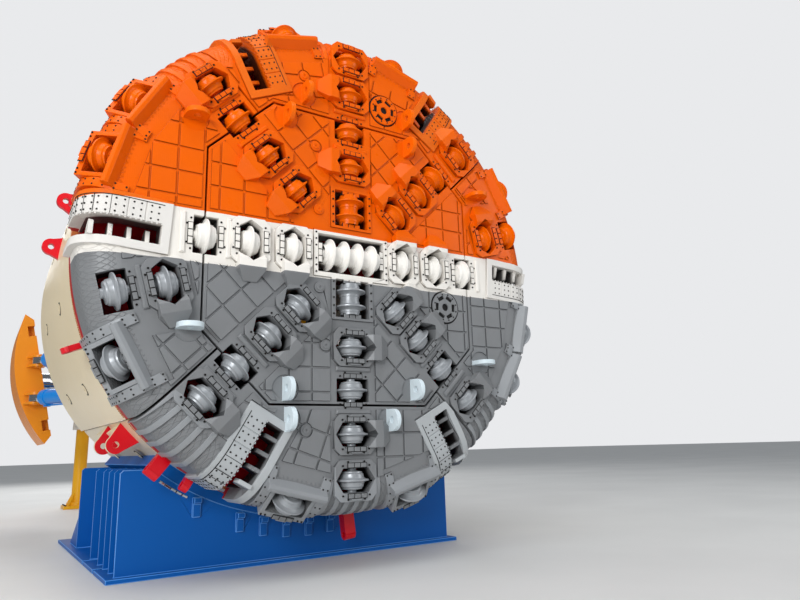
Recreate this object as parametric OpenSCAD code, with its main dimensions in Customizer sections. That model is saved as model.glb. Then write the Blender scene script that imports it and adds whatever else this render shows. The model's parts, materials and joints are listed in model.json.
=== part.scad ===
/* [Whole machine] */
// Height of the cutterhead's axis above the floor
axis_z = 4450; // [4400:10:4600]
// Distance from the cutterhead's face back to the conveyor's tail
rear_reach = 18200; // [18100:50:18800]
// Gap between pieces that move past each other
run_gap = 6; // [5:1:10]
// Gap between a piece and what carries it
seat_gap = 0.3; // [0.2:0.1:0.5]

/* [Cutterhead] */
// Outer radius of the rim
rim_r = 3700; // [3680:5:3730]
// Depth of the cutterhead from its face to its back
head_depth = 950; // [900:10:1000]
// Thickness of the face plates
face_plate = 300; // [280:10:330]
// Thickness of the rim wall
rim_wall = 140; // [100:10:200]
// Radius at which the face begins to curve back to the rim
gauge_start_r = 3250; // [3200:10:3300]
// Depth of the curve from the face to the rim
gauge_drop = 420; // [380:10:450]
// Gap at the joints between the centre and the outer segments
joint_gap = 30; // [20:2:40]
// Half width of the centre block across its flats
octagon_half = 2206; // [2190:2:2220]
// Half length of the centre block's upright and level sides
octagon_side = 1266; // [1240:2:1300]
// Distance of each outer joint from the diagonal beside it
joint_offset = 345; // [340:1:350]

/* [Wear tiles] */
// Pitch of the wear tiles on the face
tile_pitch = 343; // [335:1:350]
// Width of the grooves between the tiles
tile_groove = 26; // [20:1:32]
// Height of the tiles above the face
tile_rise = 22; // [15:1:30]
// Half width of the bare band along the upright and the level spokes
band_half = 372; // [365:1:385]
// Half width of the bare band along the diagonal spokes
diagonal_half = 392; // [380:1:400]
// Radius of a water nozzle's boss
nozzle_r = 78; // [70:1:85]

/* [Disc cutters] */
// Radius of a cutter ring
disc_r = 242; // [235:1:246]
// Depth of a cutter's axle behind the face
disc_depth = 70; // [60:5:90]
// Half width of the ring where it meets the hub
ring_half = 40; // [36:1:45]
// Radius of the hub
hub_r = 165; // [150:5:175]
// Half length of the hub
hub_half = 120; // [110:5:130]
// Radius of the axle
shaft_r = 60; // [50:5:70]
// Length of a pocket along the axle
pocket_length = 330; // [320:5:340]
// Width of a pocket across the axle, at its corners
pocket_width = 400; // [380:10:420]
// Width of a pocket at its points
pocket_points = 610; // [580:10:620]
// Length of a housing plate along the axle
housing_length = 560; // [540:10:580]
// Width of a housing plate across the axle
housing_width = 660; // [640:10:670]
// Height of a housing plate above the face
housing_rise = 60; // [40:5:80]
// Tilt of the gauge cutters
gauge_tilt = 42; // [38:1:45]
// Radius of the gauge cutters' centres
gauge_r = 3585; // [3570:5:3590]
// Depth of the gauge cutters' centres
gauge_depth = 190; // [180:5:200]
// Height of a gauge cutter's seat above its axle
gauge_rise = 78; // [70:1:85]

/* [Buckets] */
// Inner end of a bucket opening
bucket_inner_r = 2750; // [2720:10:2780]
// Width of a bucket opening
bucket_width = 280; // [260:5:290]
// Width of the row of wear plates beside it
wear_row = 250; // [220:10:270]
// Height of the wear plates
wear_rise = 44; // [35:1:45]
// Length of one wear plate
wear_pitch = 215; // [200:5:230]
// Width of the lip on the far side of an opening
lip_width = 110; // [90:5:130]

/* [Shields] */
// Outer radius of the shield
shield_r = 3660; // [3640:5:3670]
// Thickness of the shield
shield_wall = 80; // [60:5:90]
// Distance from the face to the shield's front edge
shield_front = 1200; // [1190:5:1230]
// Distance from the face to the shield's rear edge
shield_rear = 5400; // [5350:10:5450]
// Half angle of the roof shield
roof_half = 50; // [48:1:52]
// Half angle of the bottom shield
bottom_half = 50; // [48:1:52]
// Step from the side shields in to the bottom shield
bottom_step = 40; // [30:2:45]
// Travel of the roof shield
roof_lift = 80; // [60:5:90]
// Radius of the cutterhead support
support_r = 2150; // [2120:10:2180]
// Radius of the main bearing's bore
bearing_r = 1400; // [1380:5:1420]

/* [Main beam] */
// Width of the main beam
beam_w = 1700; // [1680:10:1720]
// Height of the main beam
beam_h = 1600; // [1580:10:1620]
// Height of the beam's underside above the cutterhead's axis
beam_low = -150; // [-160:5:-140]
// Plate thickness of the beam
beam_wall = 70; // [60:5:80]
// Distance from the face to the beam's front flange
beam_front = 2900; // [2880:10:2920]
// Distance from the face to the joint between the beam's halves
beam_joint = 7700; // [7680:10:7720]
// Distance from the face to the beam's rear end
beam_rear = 17000; // [16950:10:17050]

/* [Grippers] */
// Distance from the face to the gripper cylinder
gripper_y = 13000; // [12980:5:13020]
// Height of the gripper cylinder above the cutterhead's axis
gripper_z = -750; // [-760:5:-740]
// Outer radius of a gripper shoe
shoe_r = 3760; // [3740:5:3780]
// Length of a gripper shoe
shoe_length = 2200; // [2100:10:2250]
// Half height of a gripper shoe
shoe_half = 1830; // [1800:10:1850]
// Angle by which the shoes hang below the axis
shoe_drop = 12; // [11:0.5:13]
// Radius of the gripper cylinder
gripper_barrel_r = 400; // [380:5:410]
// Radius of the gripper cylinder's rods
gripper_rod_r = 250; // [240:5:260]

/* [Propel cylinders] */
// Half distance between the barrels' pins
barrel_pin_x = 1250; // [1240:2:1260]
// Distance from the face to the barrels' pins
barrel_pin_y = 7450; // [7440:2:7470]
// Half distance between the rods' pins
rod_pin_x = 3200; // [3190:2:3210]
// Distance from the shoe's front to the rods' pins
rod_pin_reach = 280; // [270:2:290]
// Half distance between the upper and the lower cylinder
cylinder_half_gap = 500; // [480:5:510]
// Radius of a barrel
barrel_r = 190; // [180:5:200]
// Radius of a rod
rod_r = 110; // [100:5:120]
// Thickness of an eye
eye_t = 170; // [160:5:175]
// Radius of an eye
eye_r = 150; // [145:1:155]
// Thickness of the ears beside an eye
ear_t = 60; // [55:1:65]
// Radius of the pins
pin_r = 75; // [70:1:78]

/* [Roof drills] */
// Distance from the face to the roof drills' pivots
drill_y = 8600; // [8580:5:8620]
// Half distance between the pivots
drill_x = 1000; // [990:2:1010]

/* [Ring beam erector] */
// Distance from the face to the erector's ring
erector_y = 6000; // [5980:5:6020]
// Inner radius of the erector's ring
erector_r = 1950; // [1940:2:1960]

/* [Rear legs] */
// Half distance between the rear legs
leg_x = 1350; // [1340:5:1380]
// Distance from the face to the rear legs
leg_y = 16500; // [16480:5:16520]
// Radius of a leg
leg_r = 200; // [190:5:205]

/* [Cradle] */
// Half width of the cradle
cradle_half = 2770; // [2750:5:2790]
// Height of the cradle's side corners
cradle_corner = 1440; // [1420:5:1460]
// Gap between the shield and the cradle's webs, which the saddle fills
saddle_t = 140; // [120:5:160]
// Half angle of the cradle's saddle, inside the shield's lower lugs
saddle_half = 39; // [36:1:40]
// Distance from the face to the cradle's front plate
cradle_front = 1600; // [1590:5:1620]
// Distance from the face to the far end of the cradle's base
cradle_rear = 6850; // [6800:10:6900]
// Thickness of the cradle's webs
cradle_web = 40; // [35:1:45]

/* [Hidden] */
$fn = 64;
cradle_r = shield_r + saddle_t;
// Places of the cradle's webs, base plates (start, end) and hanging blocks
cradle_webs = [cradle_front, cradle_front + 400, cradle_front + 830, cradle_front + 1290,
    cradle_front + 2000,
    shield_rear - 200];
cradle_bases = [[cradle_front - 120, cradle_webs[2] + 30], [cradle_webs[2] + 140, cradle_webs[3] + 600],
    [cradle_webs[3] + 670, cradle_rear]];
block_x = [-1714, -1066, -700, -325, 50, 425];
bottom_r = shield_r - bottom_step;
lug_reach = 300;
// Ways along the beam for the gripper saddle: height above the axis, depth and width
way_z = 350;
way_h = 140;
way_w = 110;
// Sleeves of the rear legs, and the height of the roof drills' pivots
sleeve_low = -1900;
sleeve_top = -100;
drill_z = beam_low + beam_h + 330;
// Radius of the tow pins' holes
tow_r = 60;
face_y = -(rear_reach - lug_reach) / 2;
steel_orange = "#f07010";
steel_grey = "#8a8d90";
primer = "#e8dcc0";
paint_red = "#d81020";
paint_blue = "#1070c8";
paint_yellow = "#f0b010";
paint_amber = "#e88a00";

// Spokes of cutters: angle, radii of pointed pockets, radii of square pockets
face_spokes = [
    [90, [1440, 2680, 3280], [2050]],
    [270, [1376, 2614, 3240], [1995]],
    [0, [912, 1529], [2133]],
    [180, [945, 1586], [2190]],
    [45, [1140, 1770, 3000], [2310]],
    [135, [1270, 1900, 3110], [2530]],
    [225, [1190, 1800, 3030], [2440]],
    [315, [1080, 1670, 2960], [2290]],
    [15, [2740], [3340]],
    [195, [2750], [3360]]];
// Angles of the gauge cutters around the rim
gauge_angles = [28.6, 75.4, 107, 150.5, 165.5, 208.6, 255.4, 287, 330.5, 345.5];
// Angles of the bucket openings' wear plates
bucket_angles = [56.5, 116, 176.4, 239, 297.6, 356.4];
// Twin cutters at the centre: height, half length of the pocket
twin_rows = [[745, 285], [-655, 285]];
// Heights of the clamps and of the noses above what carries them
clamp_rise = 28;
nose_rise = 165;
// Depth to which the pockets clear the rings
pocket_floor = face_plate + 60;
// Half length of the centre pocket, and the step between its rings
quad_half = 560;
ring_step = 235;
// Lifting lugs on the face: x, z, turn of the plate, 0 upright and 90 level
center_lugs = [[-1075, 2030, 0], [1050, 2010, 0], [-1050, -2000, 0], [1030, -1970, 0]];
segment_lugs = [
    [[-790, 2470, 0], [1030, 2500, 0]],
    [[-2400, 1650, 90], [-2370, -1250, 90]],
    [[-1020, -2400, 0], [590, -2420, 0]],
    [[2400, -1500, 90], [2450, 1420, 90]]];
// Round hatches: x, z
segment_hatch = [[[630, 2590]], [], [], []];
center_hatch = [[1710, -620]];
// Water nozzles: x, z
segment_nozzles = [[[-790, 2780]], [], [[-750, -2550]], []];
center_nozzles = [[-600, 1660], [-550, 660], [-540, -530], [-450, -1370]];
// Turn of the wear tiles in each eighth of the face, inside the octagon and outside it
tile_turns = [[0, 45], [45, -12], [45, 12], [0, 0], [45, 45], [0, -20], [45, 0], [0, 0]];
// Turning brackets on the rim: angle, reach, half thickness
rim_brackets = [[202, 3960, 40], [231, 3990, 100], [238, 3900, 55], [277, 4200, 90]];
// Sets of skid bars around the rim: angle of the middle bar, bars in the set, angle from bar to bar
rim_sets = [[42, 5, 3], [91, 5, 3.2], [137, 5, 2.8], [226, 5, 3.2], [270, 6, 2.6], [313, 5, 3.2]];

module at_axis() translate([0, face_y, axis_z]) children();
module at_floor() translate([0, face_y, 0]) children();
module polar(r, a) rotate([0, -a, 0]) translate([r, 0, 0]) children();
module slab(y0, y1) translate([0, y1, 0]) rotate([90, 0, 0]) linear_extrude(y1 - y0) children();
module revolve_y() rotate([-90, 0, 0]) rotate_extrude($fn = 256) children();
module rod_y(r, y0, y1) translate([0, y0, 0]) rotate([-90, 0, 0]) cylinder(r = r, h = y1 - y0);
module mirrored() { children(); mirror([1, 0, 0]) children(); }
module bar(x0, x1, y0, y1, z0, z1) translate([x0, y0, z0]) cube([x1 - x0, y1 - y0, z1 - z0]);

// Outline of the octagonal centre, with its sides moved out by grow
module octagon(grow) {
    half = octagon_half + grow;
    side = octagon_side + grow * tan(22.5);
    polygon([[half, side], [side, half], [-side, half], [-half, side],
        [-half, -side], [-side, -half], [side, -half], [half, -side]]);
}

// Outline of one outer segment, counted from the top one round to the left
module segment_outline(k) {
    reach = 2 * rim_r;
    difference() {
        intersection() {
            rotate(45 + 90 * k) translate([-reach, -joint_offset + joint_gap / 2])
                square([2 * reach, reach]);
            rotate(135 + 90 * k) translate([-reach, -joint_offset - joint_gap / 2 - reach])
                square([2 * reach, reach]);
            circle(r = rim_r + 300);
        }
        octagon(joint_gap / 2);
    }
}
function in_segment(a, k) = (a - 45 - 90 * k + 366 + 360) % 360 < 90;

// Face plate and rim wall, with the curved gauge corner
module head_shell() {
    steps = 5;
    width = rim_r - gauge_start_r;
    corner = [for (i = [0:steps]) [gauge_start_r + width * sin(90 * i / steps),
        gauge_drop * (1 - cos(90 * i / steps))]];
    revolve_y() polygon(concat([[0, 0]], corner, [[rim_r, head_depth],
        [rim_r - rim_wall, head_depth], [rim_r - rim_wall, gauge_drop + face_plate / 3],
        [gauge_start_r - 40, face_plate], [0, face_plate]]));
}

module pointed_pocket() {
    l = pocket_length / 2;
    w = pocket_width / 2;
    polygon([[-l, -w], [0, -pocket_points / 2], [l, -w], [l, w], [0, pocket_points / 2], [-l, w]]);
}
module square_pocket() square([pocket_length, pocket_width + 120], center = true);

module housing() {
    cut = 90;
    l = housing_length / 2;
    w = housing_width / 2;
    slab(-housing_rise, 5) polygon([[-l, -w + cut], [-l + cut, -w], [l - cut, -w], [l, -w + cut],
        [l, w - cut], [l - cut, w], [-l + cut, w], [-l, w - cut]]);
    clamps(housing_rise);
}

// Blocks that clamp the ends of the axle
module clamps(rise) for (s = [-1, 1]) {
    inner = pocket_length / 2 + 8;
    slab(-rise - clamp_rise, -rise + 5) polygon([[s * inner, -150], [s * (inner + 62), -150],
        [s * (inner + 62), -95],
        [s * (inner + 92), -75], [s * (inner + 92), 75], [s * (inner + 62), 95], [s * (inner + 62), 150],
        [s * inner, 150]]);
}

// Wedge that turns rock away from a cutter, on its leading side, as wide as the pocket's point
module nose() {
    intersection() {
        slab(-nose_rise, 5) polygon([[-190, 190], [190, 190], [190, 420], [95, 575], [-95, 575],
            [-190, 420]]);
        translate([-200, 0, 0]) rotate([90, 0, 90]) linear_extrude(400)
            polygon([[10, 185], [-95, 190], [-nose_rise, 270], [-nose_rise, 400], [-45, 575], [10, 585]]);
    }
}

module face_lug() {
    difference() {
        translate([-35, 0, 0]) rotate([0, 90, 0]) linear_extrude(70) union() {
            translate([0, -lug_reach + 160]) circle(r = 160);
            translate([-160, -lug_reach + 160]) square([320, lug_reach - 155]);
        }
        translate([-60, -lug_reach + 160, 0]) rotate([0, 90, 0]) cylinder(r = 50, h = 120);
    }
}
module lugs(list) for (l = list) translate([l[0], 0, l[1]]) rotate([0, l[2], 0]) face_lug();

module hatch_plate() {
    slab(-40, 5) difference() {
        circle(r = 250);
        circle(r = 60);
        for (i = [0:5]) rotate(60 * i) translate([160, 0]) square([60, 120], center = true);
    }
}

module center_axle(half) rotate([0, 90, 0])
    cylinder(r = shaft_r + 20, h = 2 * (half - seat_gap), center = true);

// One cutter with its axle along the spoke
module disc_cutter(half = pocket_length / 2) {
    tip = 8;
    end = half - seat_gap;
    rotate([0, 90, 0]) rotate_extrude() polygon([[0, -end], [shaft_r, -end],
        [shaft_r, -hub_half - 5], [hub_r * 0.75, -hub_half], [hub_r, -hub_half * 0.7],
        [hub_r, -ring_half - 20], [hub_r + 25, -ring_half], [disc_r - 25, -ring_half * 0.6], [disc_r, -tip],
        [disc_r, tip], [disc_r - 25, ring_half * 0.6], [hub_r + 25, ring_half], [hub_r, ring_half + 20],
        [hub_r, hub_half * 0.7], [hub_r * 0.75, hub_half], [shaft_r, hub_half + 5],
        [shaft_r, end], [0, end]]);
}

module gauge_frame(a) polar(gauge_r, a) translate([0, gauge_depth, 0]) rotate([0, 0, gauge_tilt]) children();

// Flat seat of a gauge cutter, its clamps and the rail that guards it
module gauge_seat() {
    bar(-250, 250, -gauge_rise, 150, -330, 330);
    clamps(gauge_rise);
    translate([0, 0, -430]) linear_extrude(860) polygon([[-305, 200], [-305, -125], [-275, -165],
        [-220, -165],
        [-190, -125], [-190, 200]]);
}

// Point on the curved corner of the head, moved out by rise: t runs from 0 on the face to 90 on the rim
function corner_at(t, rise) = let (w = rim_r - gauge_start_r, n = norm([gauge_drop * sin(t), w * cos(t)]))
    [gauge_start_r + w * sin(t) + rise * gauge_drop * sin(t) / n,
        gauge_drop * (1 - cos(t)) - rise * w * cos(t) / n];

// Strip that follows the face, the corner and the rim from radius r0 back to depth y1, between two widths
module head_strip(r0, z0, z1, rise, y1) {
    turns = [for (t = [0:15:90]) t];
    outer = [for (t = turns) corner_at(t, rise)];
    inner = [for (i = [0:len(turns) - 1]) corner_at(turns[len(turns) - 1 - i], -40)];
    translate([0, 0, z0]) linear_extrude(z1 - z0) polygon(concat([[r0, -rise]], outer,
        [[rim_r + rise, y1], [rim_r - 40, y1]], inner, [[r0, 40]]));
}

// Pockets and bucket openings that lie in a set of spokes and buckets
module bucket_cut() translate([0, 0, wear_row / 2])
    bar(bucket_inner_r, rim_r + 200, -100, head_depth + 10, 0, bucket_width);

module grizzly_bar(r) translate([r, 0, wear_row / 2 + bucket_width - 5]) rotate([0, 90, 0])
    linear_extrude(55) polygon([[-10, 20], [0, 20], [170, 60], [210, 140], [170, 260], [-10, 330]]);

// One eighth of the face between its bands, counted from the right
module eighth(k) rotate(45 * (k + k % 2)) mirror([0, k % 2]) {
    apex = band_half + diagonal_half * sqrt(2);
    reach = gauge_start_r;
    polygon([[apex, band_half], [reach, band_half], [reach, reach - diagonal_half * sqrt(2)]]);
}
module tile_grid(turn, first) rotate(turn) for (i = [-10:9]) for (j = [-10:9])
    translate([first + i * tile_pitch, first + j * tile_pitch]) square(tile_pitch - tile_groove);
module around(list, r) for (p = list) translate([p[0], p[1]]) circle(r = r);

// Tiles inside the octagon, clear of what stands on the face
module center_tiles() slab(-tile_rise, 5) for (k = [0:7]) difference() {
    intersection() {
        eighth(k);
        octagon(-joint_gap / 2 - 40);
        tile_grid(tile_turns[k][0], 40);
    }
    around(center_hatch, 275);
    around(center_nozzles, nozzle_r + 25);
    around(center_lugs, 190);
}

// Tiles of outer segment k
module segment_tiles(k) slab(-tile_rise, 5) intersection() {
    segment_outline(k);
    circle(r = gauge_start_r - 15);
    for (e = [0:7]) difference() {
        intersection() {
            eighth(e);
            tile_grid(tile_turns[e][1], 160);
        }
        octagon(joint_gap / 2 + 45);
        around(segment_hatch[k], 275);
        around(segment_nozzles[k], nozzle_r + 25);
        around(segment_lugs[k], 190);
        for (b = bucket_angles) rotate(b) translate([bucket_inner_r - 130, -wear_row / 2 - 70])
            square([1200, wear_row + bucket_width + lip_width + 140]);
        for (s = [15, 195]) rotate(s) translate([2400, -380]) square([1200, 1000]);
        for (a = gauge_angles) rotate(a) translate([3120, -470]) square([600, 940]);
    }
}

module nozzle_bosses(list) for (p = list) translate([p[0], 0, p[1]]) slab(-tile_rise - 10, 5) difference() {
    circle(r = nozzle_r);
    circle(r = nozzle_r / 2.5);
}

module cutterhead_center() color(steel_orange) at_axis() {
    difference() {
        union() {
            slab(0, face_plate) octagon(-joint_gap / 2);
            slab(face_plate - 5, head_depth) difference() {
                octagon(-joint_gap / 2);
                octagon(-joint_gap / 2 - 90);
            }
            center_tiles();
            for (s = face_spokes) for (r = s[1]) if (r < 2100) polar(r, s[0]) {
                housing();
                nose();
            }
            slab(-30, 5) square([2 * quad_half + 140, 720], center = true);
            for (t = twin_rows) translate([0, 0, t[0]]) slab(-30, 5)
                square([700, 2 * t[1] + 80], center = true);
            lugs(center_lugs);
            nozzle_bosses(center_nozzles);
            for (h = center_hatch) translate([h[0], 0, h[1]]) hatch_plate();
        }
        for (s = face_spokes) {
            for (r = s[1]) if (r < 2100) polar(r, s[0]) slab(-200, pocket_floor) pointed_pocket();
            for (r = s[2]) if (r < 2700) polar(r, s[0]) slab(-200, pocket_floor) square_pocket();
        }
        for (t = twin_rows) translate([0, 0, t[0]])
            slab(-200, pocket_floor) square([560, 2 * t[1]], center = true);
        slab(-200, pocket_floor) square([2 * quad_half, 580], center = true);
    }
}

// Wear plates, inner stop and far lip of one bucket opening
module bucket_edges() {
    inner = -wear_row / 2;
    difference() {
        head_strip(bucket_inner_r, inner, wear_row / 2, wear_rise, head_depth - 60);
        for (r = [bucket_inner_r + wear_pitch:wear_pitch:gauge_start_r + 100])
            bar(r - 6, r + 6, -wear_rise - 60, -wear_rise + 14, inner - 1, wear_row / 2 + 1);
        for (t = [40, 75]) translate([corner_at(t, 0)[0], corner_at(t, 0)[1], 0])
            rotate([0, 0, t]) bar(-6, 6, -wear_rise - 60, -wear_rise + 14, inner - 1, wear_row / 2 + 1);
    }
    head_strip(bucket_inner_r - 110, inner - 70, inner, wear_rise, head_depth - 60);
    bar(bucket_inner_r - 110, bucket_inner_r, -wear_rise, 10, inner - 1,
        wear_row / 2 + bucket_width + lip_width);
    head_strip(bucket_inner_r - 1, wear_row / 2 + bucket_width, wear_row / 2 + bucket_width + lip_width,
        wear_rise, head_depth - 60);
}

module segment(k) at_axis() {
    difference() {
        union() {
            intersection() {
                head_shell();
                slab(-10, head_depth + 10) segment_outline(k);
            }
            segment_tiles(k);
            for (s = face_spokes) if (in_segment(s[0], k)) {
                for (r = s[1]) if (r > 2100) polar(r, s[0]) {
                    housing();
                    if (r < 3200) nose();
                }
            }
            for (a = gauge_angles) if (in_segment(a, k)) {
                gauge_frame(a) gauge_seat();
                polar(0, a) for (side = [-1, 1])
                    head_strip(gauge_start_r - 60, side * 400 - 65, side * 400 + 65,
                        wear_rise - 10 + 3 * side,
                        head_depth - 75);
            }
            for (b = bucket_angles) if (in_segment(b, k)) polar(0, b) bucket_edges();
            for (set = rim_sets) for (i = [0:set[1] - 1]) {
                a = set[0] + (i - (set[1] - 1) / 2) * set[2];
                if (in_segment(set[0], k)) polar(0, a)
                    head_strip(gauge_start_r - 20, -38, 38, wear_rise - 16, head_depth - 90);
            }
            lugs(segment_lugs[k]);
            nozzle_bosses(segment_nozzles[k]);
            for (h = segment_hatch[k]) translate([h[0], 0, h[1]]) hatch_plate();
        }
        for (s = face_spokes) {
            if (in_segment(s[0], k)) {
                for (r = s[1]) if (r > 2100) polar(r, s[0]) slab(-250, face_plate + 200) pointed_pocket();
                for (r = s[2]) polar(r, s[0]) slab(-250, face_plate + 200) square_pocket();
            }
        }
        for (a = gauge_angles) if (in_segment(a, k)) gauge_frame(a)
            bar(-pocket_length / 2, pocket_length / 2, -500, 330, -270, 270);
        for (b = bucket_angles) if (in_segment(b, k)) polar(0, b) bucket_cut();
        at_joints(k);
    }
    for (b = bucket_angles) if (in_segment(b, k)) polar(0, b)
        for (i = [0:3]) grizzly_bar(bucket_inner_r + 120 + i * 220);
}
// Clears the joint gaps of anything that stands on the face
module at_joints(k) slab(-400, head_depth + 20) difference() {
    circle(r = rim_r + 400);
    segment_outline(k);
}
module cutterhead_top() color(steel_orange) segment(0);
module cutterhead_left() color(steel_orange) segment(1);
module cutterhead_bottom() color(steel_grey) segment(2);
module cutterhead_right() color(steel_grey) segment(3);

// Red back plate and drum, and the neck that turns in the main bearing
module cutterhead_rotor() color(paint_red) at_axis() {
    neck_end = shield_front + 1100;
    drum_r = shield_r - shield_wall - 200;
    drum_end = shield_front - run_gap;
    plate_end = head_depth + 80;
    hub_r = bearing_r + 500;
    hub_end = shield_front + 300;
    revolve_y() polygon([[bearing_r - 200, head_depth], [rim_r - 110, head_depth], [rim_r - 110, plate_end],
        [drum_r, plate_end], [drum_r, drum_end], [drum_r - 80, drum_end], [drum_r - 80, plate_end + 20],
        [hub_r, plate_end + 20], [hub_r, hub_end], [bearing_r - seat_gap, hub_end],
        [bearing_r - seat_gap, neck_end], [bearing_r - 200, neck_end]]);
    // Ribs between the hub and the drum
    for (a = [0:30:330]) polar(0, a + 15)
        translate([0, 0, -20]) linear_extrude(40) polygon([[hub_r - 5, plate_end + 15],
            [drum_r - 75, plate_end + 15],
            [drum_r - 75, drum_end - 30], [hub_r - 5, drum_end - 30]]);
    for (b = rim_brackets) polar(0, b[0]) rim_bracket(b[1], b[2], plate_end, drum_end);
}
module rim_bracket(reach, half, y0, y1) {
    eye = (y1 - y0) / 2;
    difference() {
        translate([0, 0, -half]) linear_extrude(2 * half) union() {
            translate([rim_r - 200, y0 - 1]) square([reach - eye - rim_r + 200, 2 * eye + 1]);
            translate([reach - eye, y0 + eye]) circle(r = eye);
        }
        translate([reach - eye, y0 + eye, -half - 10]) cylinder(r = eye * 0.55, h = 2 * half + 20);
    }
    bar(rim_r - 300, rim_r - 60, y0 - 1, y0 + 60, -half - 90, half + 90);
}

module face_cutters() color("#b8bcc0") at_axis() for (s = face_spokes) for (r = concat(s[1], s[2]))
    polar(r, s[0]) translate([0, disc_depth, 0]) disc_cutter();

module center_cutters() color("#e8e8e4") at_axis() {
    for (i = [-1.5:1:1.5]) translate([i * ring_step, disc_depth, 0]) disc_cutter(ring_step / 2 + 2);
    translate([0, disc_depth, 0]) center_axle(quad_half);
    for (t = twin_rows) translate([0, disc_depth, t[0]]) rotate([0, 90, 0]) {
        for (i = [-0.5, 0.5]) translate([i * ring_step, 0, 0]) disc_cutter(ring_step / 2 + 2);
        center_axle(t[1]);
    }
}

module gauge_cutters() color("#b8bcc0") at_axis() for (a = gauge_angles) gauge_frame(a) disc_cutter();

// Curved shell between two angles
module shell(a0, a1, y0, y1, r, t) rotate([-90, 0, 0]) rotate([0, 0, -a1])
    rotate_extrude(angle = a1 - a0, $fn = 256) translate([r - t, y0]) square([t, y1 - y0]);
shield_split = 0.25;
rib_y = shield_front + 900;
rib_t = 60;
bulkhead_r = shield_r - shield_wall - roof_lift;
jack_y = 2660;
module shield_piece(a0, a1, r = shield_r) {
    shell(a0 + shield_split, a1 - shield_split, shield_front, shield_rear, r, shield_wall);
    for (y = [rib_y, shield_rear - 400]) shell(a0 + 3, a1 - 3, y, y + rib_t, r - shield_wall + 5, 200);
    // Stiffeners along the shell, behind the jacks
    for (a = [a0 + 8:(a1 - a0 - 16) / 6:a1 - 7]) polar(0, a)
        bar(r - shield_wall - 150, r - shield_wall + 5, jack_y + 400, shield_rear - 380, -15, 15);
}
// Lifting lug on the shield, its plate across the machine
module shield_lug(a, y, reach) polar(0, a) difference() {
    eye = min(130, reach / 2);
    eye_x = shield_r + reach - eye;
    slab(y, y + 90) union() {
        translate([eye_x, 0]) circle(r = eye);
        polygon([[shield_r - 60, -eye - 70], [eye_x, -eye + 1], [eye_x, eye - 1],
            [shield_r - 60, eye + 70]]);
    }
    translate([eye_x, y - 10, 0]) rotate([-90, 0, 0]) cylinder(r = eye * 0.35, h = 110);
}

module shield_roof() color(primer) at_axis() shield_piece(90 - roof_half, 90 + roof_half);
module side_shield(lugs_at) {
    shield_piece(90 + roof_half, 270 - bottom_half);
    for (l = lugs_at) shield_lug(l[0], l[1], l[2]);
}
// Lugs on the side shields: angle, distance from the face, reach
side_lugs = [[163, 2600, 280], [173, 3000, 260], [147, 1900, 130], [157, 1500, 110], [169, 1500, 110]];
module shield_side_left() color(primer) at_axis() side_shield(side_lugs);
module shield_side_right() color(primer) at_axis() mirror([1, 0, 0]) side_shield(side_lugs);
module shield_bottom() color(primer) at_axis() {
    shield_piece(270 - bottom_half, 270 + bottom_half, bottom_r);
    mirrored() for (y = [1900, 2900]) {
        shield_lug(270 - bottom_half + 3.5, y, 330);
        // Body of the lug, running back along the shell
        polar(0, 270 - bottom_half + 3.5) bar(shield_r - 60, shield_r + 90, y + 89, y + 700, -150, 150);
    }
}
// One finger behind the roof shield, drawn at the top, with a tapered tip
module finger() intersection() {
    shell(87.8, 92.2, shield_rear + seat_gap, shield_rear + 1100, shield_r - 20, 40);
    translate([0, 0, shield_r - 200]) linear_extrude(200) polygon([[-200, shield_rear - 10],
        [200, shield_rear - 10],
        [200, shield_rear + 800], [60, shield_rear + 1100], [-60, shield_rear + 1100],
        [-200, shield_rear + 800]]);
}
module finger_shield() color(primer) at_axis() for (a = [45:6:135]) polar(0, a - 90) finger();

// Main bearing housing, bulkhead and its ribs
module cutterhead_support() color("#e0e0d8") at_axis() {
    front = shield_front + 300 + run_gap;
    wall = rib_y + rib_t + run_gap;
    step = wall + 200;
    revolve_y() polygon([[bearing_r, front], [support_r - 120, front], [support_r, front + 120],
        [support_r, beam_front],
        [bearing_r - 300, beam_front], [bearing_r - 300, shield_front + 1100 + run_gap],
        [bearing_r, shield_front + 1100 + run_gap]]);
    revolve_y() translate([support_r - 20, wall]) square([bulkhead_r - support_r + 20, 90]);
    // Tapered ribs behind the bulkhead
    for (a = support_ribs) polar(0, a) translate([0, 0, -25]) linear_extrude(50) polygon([
        [support_r - 20, wall + 80], [bulkhead_r - 60, wall + 80], [bulkhead_r - 60, step],
        [support_r - 20, beam_front - 60]]);
    // Flange bolted to the bottom shield's rib
    shell(270 - bottom_half + 4, 270 + bottom_half - 4, rib_y + rib_t + seat_gap, wall + 5,
        bulkhead_r - 20, 500);
}
// Angles of the jacks between the bearing housing and the shields that move, and of the ribs between them
support_ribs = [0, 45, 90, 135, 180, 225, 247, 270, 293, 315];
jack_angles = [72, 108, 160, 200, 340, 20];
module shield_jacks() color(paint_yellow) at_axis() intersection() {
    for (a = jack_angles) translate([0, jack_y, 0]) polar(support_r + seat_gap, a) rotate([0, 90, 0]) {
        cylinder(r = 190, h = 60);
        cylinder(r = 150, h = 820);
        translate([0, 0, 780]) cylinder(r = 170, h = 120);
        cylinder(r = 95, h = shield_r);
    }
    revolve_y() translate([support_r + seat_gap, jack_y - 300])
        square([shield_r - shield_wall - support_r - 2 * seat_gap, 600]);
}
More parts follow.
